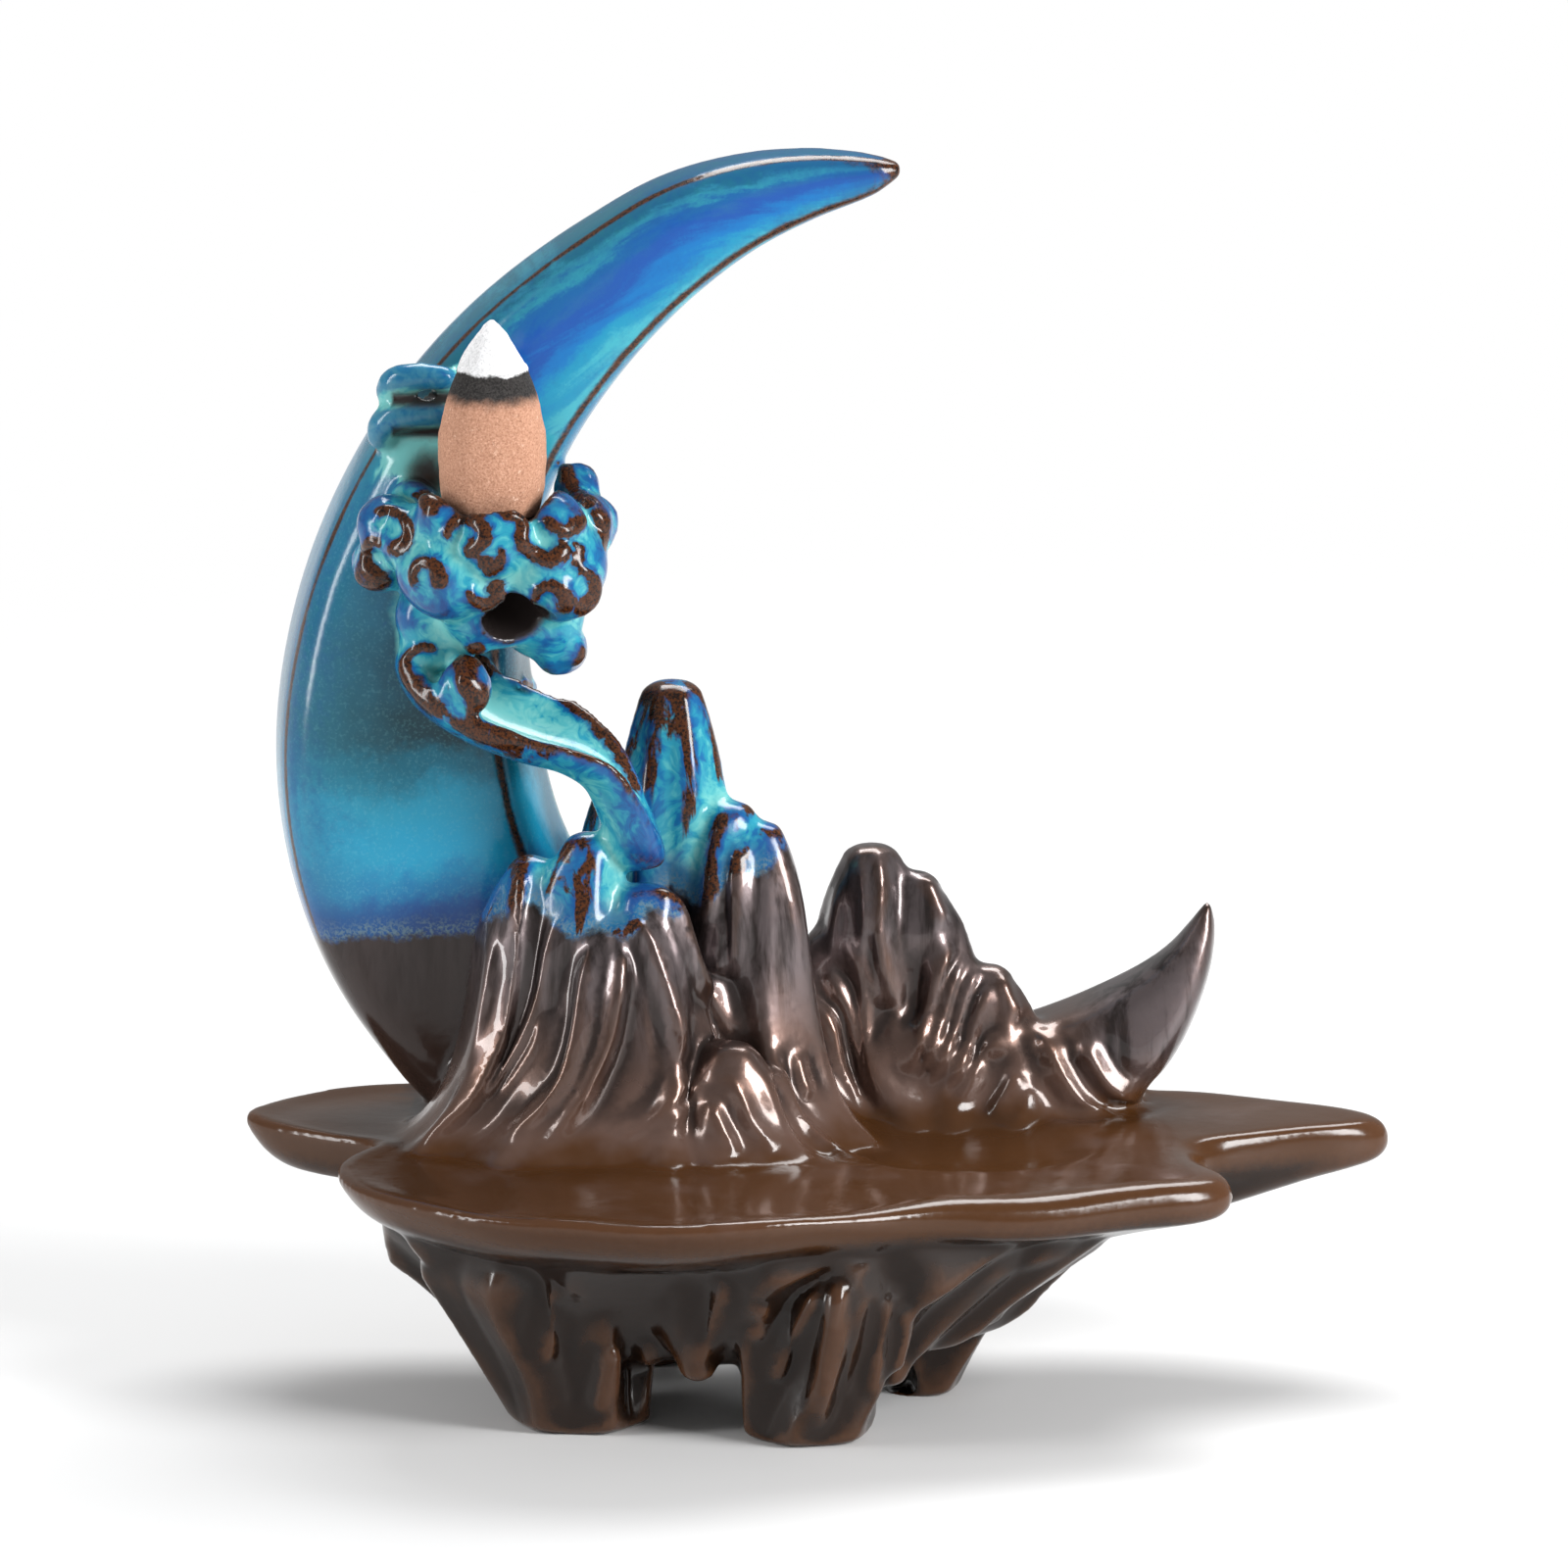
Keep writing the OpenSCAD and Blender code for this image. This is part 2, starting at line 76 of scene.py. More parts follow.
moon = {
    "centre": Vector((5, 26, 85)),
    "radius": 77,
    "width": 35,
    "depth": 21,
    "squareness": 4.0,
    "bevel": 2.4,       # how far the front face is drawn in from the outer edge
    # angle round the centre, then shares of radius, width and depth, and how far the
    # section is set back, as a share of the depth
    "rows": [
        (85.3, 0.992, 0.05, 0.11, 0), (88, 1.003, 0.15, 0.25, 0), (94, 1.015, 0.255, 0.38, 0),
        (101, 1.021, 0.352, 0.50, 0), (109, 1.018, 0.448, 0.64, 0), (118, 1.0, 0.514, 0.76, 0),
        (129, 0.990, 0.60, 0.87, 0), (150, 0.983, 0.755, 1.0, 0), (168, 0.989, 0.875, 1.0, 0),
        (185, 1.003, 0.968, 1.0, 0), (200, 1.010, 1.0, 1.0, 0), (212, 1.004, 0.994, 1.0, 0),
        (228, 0.975, 0.93, 1.0, 0.02), (246, 0.81, 0.55, 0.94, 0.14), (268, 0.742, 0.37, 0.88, 0.18),
        (290, 0.79, 0.43, 0.86, 0.18), (300, 0.832, 0.488, 0.82, 0.2), (311, 0.824, 0.41, 0.72, 0.2),
        (322.6, 0.771, 0.215, 0.45, 0.2), (329, 0.731, 0.11, 0.24, 0.2), (332.8, 0.698, 0.03, 0.09, 0.2),
    ],
}
moonFront = moon["centre"].y - moon["depth"] / 2


def smoothRow(rows, t):
    # a smooth curve through rows whose first column is the place along it
    i = 0
    while i < len(rows) - 2 and t > rows[i + 1][0]:
        i += 1
    a, b = rows[i], rows[i + 1]
    before, after = rows[max(i - 1, 0)], rows[min(i + 2, len(rows) - 1)]
    w = b[0] - a[0]
    u = (t - a[0]) / w
    out = []
    for c in range(1, len(a)):
        ma = (b[c] - before[c]) / (b[0] - before[0]) * w
        mb = (after[c] - a[c]) / (after[0] - a[0]) * w
        out.append(a[c] * (2 * u ** 3 - 3 * u * u + 1) + ma * (u ** 3 - 2 * u * u + u)
                   + b[c] * (3 * u * u - 2 * u ** 3) + mb * (u ** 3 - u * u))
    return out


def rollTube(bm, around, along, ringAt):
    # a grid rolled into a tube: ringAt(v) gives a function that places each u of that ring
    verts = bmesh.ops.create_grid(bm, x_segments=around, y_segments=along, size=0.5)["verts"]
    rings = {}
    for vert in verts:
        v = round(vert.co.y + 0.5, 6)
        if v not in rings:
            rings[v] = ringAt(min(max(v, 0), 1))
        vert.co = rings[v](vert.co.x + 0.5)
    bmesh.ops.remove_doubles(bm, verts=verts, dist=0.0001)
    bmesh.ops.holes_fill(bm, edges=[e for e in bm.edges if e.is_boundary], sides=0)


def uneven(point, size, amount, seed=0.0):
    return amount * noise.noise(Vector((point[0] / size + seed, point[1] / size, point[2] / size)))


# crescent moon

def softStep(low, high, value):
    t = min(1, max(0, (value - low) / (high - low)))
    return t * t * (3 - 2 * t)


def moonSlant(t):
    # how far the inner wall slopes out from the front face to the back
    return 1.2 + 3.4 * softStep(150, 176, t) * (1 - softStep(222, 246, t))


def moonSection(t):
    radius, width, depth, back = smoothRow(moon["rows"], t)
    half = moon["width"] * width / 2
    middle = moon["radius"] * radius - half
    return middle, half, moon["depth"] * depth / 2, moon["centre"].y + moon["depth"] * back


def addMoon(bm):
    first, last = moon["rows"][0][0], moon["rows"][-1][0]
    power = 2 / moon["squareness"]

    def ringAt(v):
        t = first + (last - first) * (v - 0.09 * math.sin(2 * math.pi * v))
        middle, half, deep, y = moonSection(t)
        fullness = deep / (moon["depth"] / 2)
        slant = moonSlant(t) * fullness
        a = math.radians(t)

        def place(u):
            c, s = math.cos(2 * math.pi * u), math.sin(2 * math.pi * u)
            out = math.copysign(abs(c) ** power, c)
            side = math.copysign(abs(s) ** power, s)
            front, rear = (1 - side) / 2, (1 + side) / 2
            r = middle + half * out
            if out > 0:
                r -= moon["bevel"] * fullness * out * front ** 1.6
            else:
                r -= slant * -out * (rear - 0.25)
            x = moon["centre"].x + r * math.cos(a)
            z = moon["centre"].z + r * math.sin(a)
            swell = uneven((x, side * 5, z), 14, 0.25)
            return Vector((x, y + (deep + swell * fullness) * side, z))
        return place
    rollTube(bm, 72, 260, ringAt)


# peaks

peakLook = {
    "tallest": 59.5,
    "fold": 0.17,       # depth of the folds, as a share of the radius
    "sunk": 4,
    "flare": 2.4,       # how far a foot runs out over the plateau
    # summit x, y, height share, crown radius, lean x, lean y, foot radii x, y, folds, first angle, turn
    "rows": [
        (-26, 17, 0.42, 9, -2, -1, 28, 19, 9, 20, 14),
        (-19, 20, 1.00, 4.1, 0.5, -1, 15, 14, 7, 12, -12),
        (-27, 24, 0.74, 2.6, -1, 0, 10, 10, 4, 30, 0),
        (-11.3, 16, 0.74, 3.2, 2, -1, 14, 14, 5, 40, 16),
        (-7.2, 15.5, 0.695, 3.0, 3, -1, 11, 13, 5, 0, 22),
        (-37.6, 9, 0.645, 2.6, -7, 1, 12, 14, 5, 70, -40),
        (-29.9, 8, 0.70, 3.3, -6, -2, 16, 15, 5, 30, -40),
        (-22.4, 6, 0.592, 3.6, 0, -2, 16, 13, 5, 55, -26),
        (-25.4, 2.5, 0.518, 3.2, -5, -1.5, 17, 10, 5, 85, -44),
        (-11.3, 2, 0.25, 3.6, 0.5, -0.5, 14, 9, 5, 60, 20),
        (-12.6, -0.5, 0.198, 2.6, 0.5, -0.5, 9, 6.5, 4, 20, 10),
        (12, 28.5, 0.24, 8, 2, -0.5, 25, 8.5, 8, 10, 10),
        (7.4, 28.5, 0.597, 3.9, 0, -1, 15, 9, 6, 15, 18),
        (13.2, 28.5, 0.534, 3.1, 3, -1, 14, 8, 5, 30, 16),
        (1.6, 27.5, 0.408, 3.0, 0, -1, 11, 9, 5, 40, -24),
        (-1.2, 25.5, 0.319, 3.0, 2, -1, 11, 8, 4, 75, -20),
        (-2.2, 23.5, 0.265, 2.4, 2, -0.5, 8.5, 6.5, 4, 20, -10),
        (17.8, 28, 0.389, 2.8, -2, -1, 12, 9, 5, 0, 26),
        (23, 27.5, 0.325, 2.8, 0, -1, 13, 9, 5, 35, 26),
        (27.4, 26.5, 0.204, 3.2, 0, -1, 13, 8.5, 5, 0, 20),
        (29.2, 24.3, 0.117, 2.2, 0.5, -0.5, 8, 6, 4, 30, 10),
    ],
}


def spread(t):
    return 0.2 * (1 - (1 - min(t / 0.28, 1)) ** 2) + 0.32 * t + 0.48 * t ** 4.6


def foldShape(phase, t):
    # round lobes with sharp valleys at the crown, thin ribs over broad hollows at the foot
    lobe = 1.75 * abs(math.sin(math.pi * phase)) ** 0.8 - 1
    rib = 1.55 * math.exp(-((phase - 0.5) / 0.15) ** 2) - 0.5
    return lobe * (1 - t) + rib * t


def addPeak(bm, row):
    x, y, share, crown, leanX, leanY, footX, footY, folds, start, turn = row
    top = plateTop + share * peakLook["tallest"]
    foot = plateTop - peakLook["sunk"]
    dome = crown * 0.5
    flank = top - dome - foot

    def ringAt(v):
        t = max(0, 1 - v / 0.86)
        u = min(1, (1 - v) / 0.14)
        z = top - dome * u if v > 0.86 else top - dome - flank * t
        cap = math.sqrt(max(0.02, 1 - (1 - u) ** 2))
        open_ = spread(t)
        cut = peakLook["fold"] * (0.55 + 0.65 * min(t / 0.4, 1) - 0.65 * t ** 4)
        flare = peakLook["flare"] * min(1, share * 4) * math.exp(-max(z - plateTop, 0) / 2.6)

        def place(w):
            sway = 5 * math.sin(5.2 * t + x + 2 * math.pi * w) * min(1, 3 * t)
            a = math.radians(start + 360 * w + turn * t ** 1.4 + sway)
            depth = (0.8 + 0.22 * math.sin(4 * math.pi * w + x + 1.5 * t)
                     + 0.16 * math.sin(6 * math.pi * w - y))
            f = cap * (1 + cut * depth * foldShape((w * folds) % 1, t))
            rx = crown + (footX - crown) * open_ + flare
            ry = crown + (footY - crown) * open_ + flare
            return Vector((x + leanX * open_ + rx * f * math.cos(a),
                           y + leanY * open_ + ry * f * math.sin(a), z))
        return place
    rollTube(bm, 22 * folds, 70, ringAt)


# plateau and pool

plateau = {
    "reach": (76.5, 40),
    "outline": [
        (0.655, 0.20), (0.80, 0.33), (0.955, 0.43), (1.003, 0.52), (0.985, 0.65), (0.80, 0.86),
        (0.60, 1.0), (0.25, 0.98), (-0.10, 0.95), (-0.45, 0.98), (-0.74, 1.0), (-0.91, 0.86),
        (-1.003, 0.60), (-0.975, 0.46), (-0.86, 0.30), (-0.745, 0.17), (-0.80, 0.0),
        (-0.835, -0.22), (-0.77, -0.56), (-0.56, -0.90), (-0.31, -1.02), (-0.12, -1.02),
        (0.03, -0.88), (0.20, -0.72), (0.37, -0.645), (0.54, -0.51), (0.69, -0.40),
        (0.725, -0.28), (0.67, -0.06),
    ],
    # how far in from the outline, and the height as a share of the thickness: rounded to the
    # right, drawn in below a sharper rim to the left
    "edge": [(0, 30, -0.9), (0.08, 15, -0.35), (0.2, 5, 0), (0.3, 1.1, 0.18), (0.38, 0, 0.5),
             (0.46, 0.9, 0.84), (0.54, 3.4, 1), (0.62, 8, 1), (0.8, 22, 1), (1, 36, 1)],
    "rim": [(0, 30, -0.9), (0.08, 15, -0.4), (0.2, 7.5, -0.1), (0.3, 3.4, 0.22), (0.38, 1.2, 0.58),
            (0.46, 0.1, 0.92), (0.52, 1.3, 1.04), (0.62, 6, 0.98), (0.8, 22, 1), (1, 36, 1)],
    "poolAt": (18, 5.5),
    "poolSize": (19.5, 14),
    "poolDeep": 2.4,
}


def closedCurve(points, u):
    # a smooth closed curve that passes between its points, as a clay edge does
    n = len(points)
    s = u * n
    i = int(s) % n
    f = s - int(s)
    a, b, c = (Vector(points[(i + k) % n]) for k in (-1, 0, 1))
    return (a * (1 - f) ** 2 + b * (1 + 2 * f - 2 * f * f) + c * f * f) / 2


def addPlateau(bm):
    reach = Vector(plateau["reach"])
    pool = plateau["poolAt"]
    size = plateau["poolSize"]

    def ringAt(v):
        rounded, rimmed = smoothRow(plateau["edge"], v), smoothRow(plateau["rim"], v)

        def place(u):
            p = closedCurve(plateau["outline"], u)
            p = Vector((p.x * reach.x, p.y * reach.y))
            far = p.length
            left = 1 - softStep(0, 26, p.x)
            inset, rise = (a + (b - a) * left for a, b in zip(rounded, rimmed))
            if v > 0.62:
                q = p * (1 - inset / far) if inset < 8 else p * (1 - 8 / far) * (1 - (inset - 8) / 28 * 0.99)
            else:
                q = p * (1 - min(inset / far, 0.9))
            if rise < 0:
                rise *= 1 - 0.85 * softStep(38, 60, -p.x) * softStep(0, 10, p.y)
            z = plateUnder + rise * plateThick + uneven((q.x, q.y, 0), 17, 0.5)
            if v > 0.5:
                hole = ((q.x - pool[0]) / size[0]) ** 2 + ((q.y - pool[1]) / size[1]) ** 2
                z -= plateau["poolDeep"] * max(0, 1 - hole) ** 0.8
            return Vector((q.x, q.y, z))
        return place
    rollTube(bm, 320, 80, ringAt)


# rocky base

base = {
    "at": (-10, 1),
    "fold": 0.11,
    "folds": 12,
    # place along the skin, radii in x and y, height as a share of the plateau's underside
    "rows": [(0, 3, 2, 0.74), (0.12, 15, 9, 0.70), (0.24, 23, 13.5, 0.42), (0.3, 26, 15.5, 0.36),
             (0.38, 32, 19.5, 0.36), (0.46, 35, 21.5, 0.42), (0.62, 39, 24.5, 0.58),
             (0.8, 45.5, 29, 0.80), (1, 53, 34.5, 1.04)],
    "tuck": 2.5,        # how far inside the ledge's edge the base stays, and over how many degrees
    "tuckOver": 9,      # either way that limit is smoothed
    "hollow": (23, 13.8),   # half width and half depth of the opening under it
    "roof": 7,          # what is left between that opening and the ledge
    "footWidth": 13,
    "rockFold": 0.25,
    # lower end x, y, height share, radius share, root x, y, root radius, folds
    "rocks": [
        (-31, -11, 0, 0.68, -38, -11.5, 16, 6), (-1, -18, 0, 0.62, 1, -16.5, 17, 6),
        (13.5, 6, 0, 0.42, 20, 6, 16, 5), (-23, 22, 0, 0.46, -29, 17, 15, 5),
        (-15.5, -21.5, 0.36, 0.18, -17, -19, 11, 4), (-36, 7, 0.26, 0.28, -45, 6, 12, 4),
        (10, -12.5, 0.27, 0.20, 18, -14, 12, 4), (-4, 24, 0.26, 0.26, -6, 18, 12, 4),
        (22, -8, 0.52, 0.20, 29, -9, 11, 4),
    ],
}


def ledgeReach():
    # how far out the base may stand at each degree: smoothed, and inside the ledge's edge
    spots = [closedCurve(plateau["outline"], i / 720) for i in range(720)]
    spots = [(p.x * plateau["reach"][0], p.y * plateau["reach"][1]) for p in spots]
    turned = sorted((math.degrees(math.atan2(y, x)) % 360, math.hypot(x, y)) for x, y in spots)
    turns, reaches = np.array(turned).T
    reach = np.interp(np.arange(360), turns, reaches, period=360)
    near = range(-base["tuckOver"], base["tuckOver"] + 1)
    reach = np.min([np.roll(reach, k) for k in near], axis=0)
    return np.mean([np.roll(reach, k) for k in near], axis=0) - base["tuck"]


baseReach = ledgeReach()


def tucked(point):
    # nothing of the base stands out past the ledge above it
    turn = math.degrees(math.atan2(point.y, point.x)) % 360
    limit = np.interp(turn, np.arange(360), baseReach, period=360)
    far = math.hypot(point.x, point.y)
    if far > limit:
        point.x *= limit / far
        point.y *= limit / far
    return point


def addBase(bm):
    def ringAt(v):
        rx, ry, height = smoothRow(base["rows"], v)
        deep = base["fold"] * min(1, max(0, (v - 0.3) / 0.2))

        def place(u):
            a = 2 * math.pi * u + 0.4 * height
            f = 1 + deep * (0.8 + 0.3 * math.sin(6 * math.pi * u)) * foldShape((u * base["folds"]) % 1, 0.6)
            return tucked(Vector((base["at"][0] + rx * f * math.cos(a), base["at"][1] + ry * f * math.sin(a),
                                  height * plateUnder)))
        return place
    rollTube(bm, 240, 60, ringAt)
    for rock in base["rocks"]:
        addRock(bm, rock)


def addRock(bm, row):
    x, y, share, tipShare, rootX, rootY, rootRadius, folds = row
    tip = tipShare * base["footWidth"]
    low = share * plateUnder
    high = 0.95 * plateUnder

    def ringAt(v):
        s = max(0, (v - 0.12) / 0.88)
        end = min(1, v / 0.12)
        wide = (tip + (rootRadius - tip) * (0.45 * s + 0.55 * s ** 1.8)) * (1 - 0.15 * softStep(0.75, 1, s))
        if share > 0:
            wide *= math.sqrt(max(0.01, 1 - (1 - end) ** 2))    # a hanging rock ends in a round tip
            z = low - tip * 0.7 * (1 - end) + (high - low) * s
        else:
            wide *= 0.86 + 0.14 * math.sqrt(1 - (1 - end) ** 2)  # a foot has a soft edge
            z = low + 0.9 * end + (high - 0.9 - low) * s
        deep = base["rockFold"] * (0.55 + 1.3 * s * (1 - s)) * end

        def place(u):
            a = 2 * math.pi * u + math.radians(x * 9 + 30 * s) + 0.12 * math.sin(6 * s + x)
            f = 1 + deep * (0.85 + 0.3 * math.sin(4 * math.pi * u + x)) * foldShape((u * folds) % 1, 0.45)
            return tucked(Vector((x + (rootX - x) * s + wide * f * math.cos(a),
                                  y + (rootY - y) * s + wide * f * math.sin(a) * 0.9, z)))
        return place
    rollTube(bm, 20 * folds, 40, ringAt)


# incense cone, its seat, and the cloud round it

cone = {
    "width": 14.2,
    "height": 25.6,
    "bore": 3,
    "boreShare": 0.62,
    # height and radius as shares of the cone's own
    "side": [(0, 0.86), (0.04, 0.90), (0.14, 0.965), (0.28, 1.0), (0.42, 0.975), (0.56, 0.88),
             (0.68, 0.735), (0.742, 0.645)],
    "ash": [(0.742, 0.665), (0.80, 0.56), (0.87, 0.41), (0.93, 0.27), (0.975, 0.14), (1, 0.04)],
}
coneAt = Vector((moon["centre"].x - 47.29, moonFront - 4 - cone["width"] / 2, moon["centre"].z + 33.61))

cloud = {
    "cup": 8.25,
    "cupHigh": 10,
    "curlHigh": 0.7,
    # x and z from the seat, y from the crescent's face, radius, the curl's turn in degrees, or none
    "lumps": [
        (0, -9, -9.5, 9, None), (-5.5, -13.5, -7.2, 6.9, None), (7.9, -12.5, -7.0, 7.3, None),
        (0.6, -16, -2.0, 5.6, None), (-5.8, -14.7, -0.9, 4.6, None), (7.2, -14, -1.1, 4.8, None),
        (-13.6, -7, -2.4, 4.4, None), (-15, -5.5, -8.2, 3.9, 240), (-9.6, -10, -3.8, 5.0, None),
        (12.2, -8, -1.9, 4.2, 20), (11, -4, 1.6, 3.4, 150), (8.8, -6.5, -19.0, 3.6, 90),
        (6, -6.5, -14, 6.2, None), (-8.4, -6, -14.6, 4.8, None), (-7.2, -5, -18, 5.2, None),
        (-10.4, -3, -1.0, 3.8, 330),
    ],
    "wisps": [
        [(-14.8, 4, 5.8, 2.1), (-14.2, 1.7, 9.4, 2.2), (-10.4, 0.6, 10.8, 2.0), (-5, 0.6, 10.8, 1.7)],
        [(-13.7, 4, 11.7, 2.0), (-13, 1.9, 14.8, 2.1), (-9.4, 0.8, 15.8, 1.9), (-4.6, 0.9, 15.4, 1.6)],
    ],
    "mouth": (3.6, -16.6, -13.8, 3.9),
}


def cloudAt(x, y, z):
    return Vector((coneAt.x + x, moonFront + y, coneAt.z + z))


def addLump(bm, at, radius, turn, hand, facing):
    verts = bmesh.ops.create_icosphere(bm, subdivisions=5, radius=1)["verts"]
    across = Vector((0, 0, 1)).cross(facing).normalized()
    upward = facing.cross(across)
    for vert in verts:
        n = vert.co.normalized()
        rise = 0
        if turn is not None:
            tilt = math.acos(max(-1, min(1, n.dot(facing)))) / math.pi * 2
            spin = math.atan2(n.dot(upward), n.dot(across)) * hand + math.radians(turn)
            # a one-armed spiral that winds in to the middle of the lump
            arm = math.cos(spin - 2 * math.pi * 1.15 * tilt)
            rise = cloud["curlHigh"] * (radius / 5.5) * arm * max(0, 1 - tilt ** 4) * min(1, tilt * 5)
        vert.co = at + n * (radius + rise + uneven(at + n * radius, 6, 0.6))


def addRope(bm, rows):
    # a thick, tapering strand through rows of x, y, z and radius
    steps = [(float(i),) + tuple(r) for i, r in enumerate(rows)]
    last = steps[-1][0]

    def ringAt(v):
        s = v * last
        x, y, z, r = smoothRow(steps, s)
        nextX, nextY, nextZ, _ = smoothRow(steps, min(last, s + 0.02))
        prevX, prevY, prevZ, _ = smoothRow(steps, max(0, s - 0.02))
        ahead = Vector((nextX - prevX, nextY - prevY, nextZ - prevZ)).normalized()
        side = ahead.orthogonal() if abs(ahead.y) > 0.99 else ahead.cross(Vector((0, 1, 0)))
        side = side.normalized()
        other = ahead.cross(side)
        end = min(1, v * last * 2.2, (1 - v) * last * 2.2)
        wide = r * math.sqrt(max(0.02, 1 - (1 - end) ** 2))
        at = Vector((x, y, z))
        return lambda u: at + wide * (side * math.cos(2 * math.pi * u) + other * math.sin(2 * math.pi * u))
    rollTube(bm, 24, 20 * int(last), ringAt)


def addCloud(bm):
    for k, (x, y, z, radius, turn) in enumerate(cloud["lumps"]):
        facing = Vector((x * 0.045, -1, 0.12 + z * 0.02)).normalized()
        addLump(bm, cloudAt(x, y, z), radius, turn, 1 if k % 2 else -1, facing)
    for wisp in cloud["wisps"]:
        addRope(bm, [tuple(cloudAt(x, y, z)) + (r,) for x, y, z, r in wisp])


# chute

chute = {
    "width": 6,
    "tilt": 13,         # degrees by which the far lip stands higher than the near one
    # place along it, x, y and z from the crescent's centre, half width, half height, groove
    "rows": [
        (0, -58.4, -13.2, 13.9, 0.62, 0.50, 0.4), (1, -54.2, -15.7, 10.6, 1.12, 0.84, 0.8),
        (2, -48.4, -17.5, 7.7, 1.36, 0.92, 1.0), (3, -42.2, -18.3, 5.2, 1.36, 0.88, 1.0),
        (4, -36.4, -19.2, 3.1, 1.14, 0.82, 0.95), (5, -31.4, -19.6, -0.5, 0.90, 0.84, 0.8),
        (6, -28.9, -19.0, -6.4, 0.78, 0.82, 0.5), (7, -27.8, -18.6, -11.8, 0.66, 0.68, 0.2),
        (8, -27.4, -18.6, -14.9, 0.38, 0.42, 0),
    ],
    "curlAt": (-50.9, -11.8, 10.4),
    "curlRadius": 3.6,
    "curlTurn": 160,
}


def addChute(bm):
    rows = chute["rows"]
    last = rows[-1][0]

    def ringAt(v):
        t = 0.05 + (last - 0.1) * v
        x, y, z, wide, tall, groove = smoothRow(rows, t)
        ahead = Vector(smoothRow(rows, t + 0.04)[:3]) - Vector(smoothRow(rows, t - 0.04)[:3])
        ahead.normalize()
        side = (Vector((0, 1, 0)) - ahead * ahead.y).normalized()
        up = ahead.cross(side)
        tilt = math.radians(chute["tilt"] * (1 - softStep(3.5, 6, t)))
        side, up = side * math.cos(tilt) + up * math.sin(tilt), up * math.cos(tilt) - side * math.sin(tilt)
        at = moon["centre"] + Vector((x, y, z))

        def place(u):
            a = 2 * math.pi * u
            s = math.sin(a)
            rise = s - groove * 1.45 * max(0, s) ** 2
            lip = 1 + 0.08 * groove * math.exp(-((s - 0.30) / 0.16) ** 2)
            return (at + side * (chute["width"] * wide * math.cos(a) * lip)
                    + up * (chute["width"] * tall * rise))
        return place
    rollTube(bm, 80, 110, ringAt)
    cx, cy, cz = chute["curlAt"]
    addLump(bm, Vector((moon["centre"].x + cx, moonFront + cy, moon["centre"].z + cz)),
            chute["curlRadius"], chute["curlTurn"], -1, Vector((0.1, -1, 0.1)).normalized())


# the whole casting: joined, melted into one skin, stamped, and smoothed as a glaze smooths it

skinLook = {
    "grain": 0.52,
    "triangles": 194000,
    "rounds": 8,        # how often the skin is smoothed, and how much of that the cloud and the
    "least": 0.35,      # crescent take
    "roundsAfter": 2,   # once more when the ribs are on
}

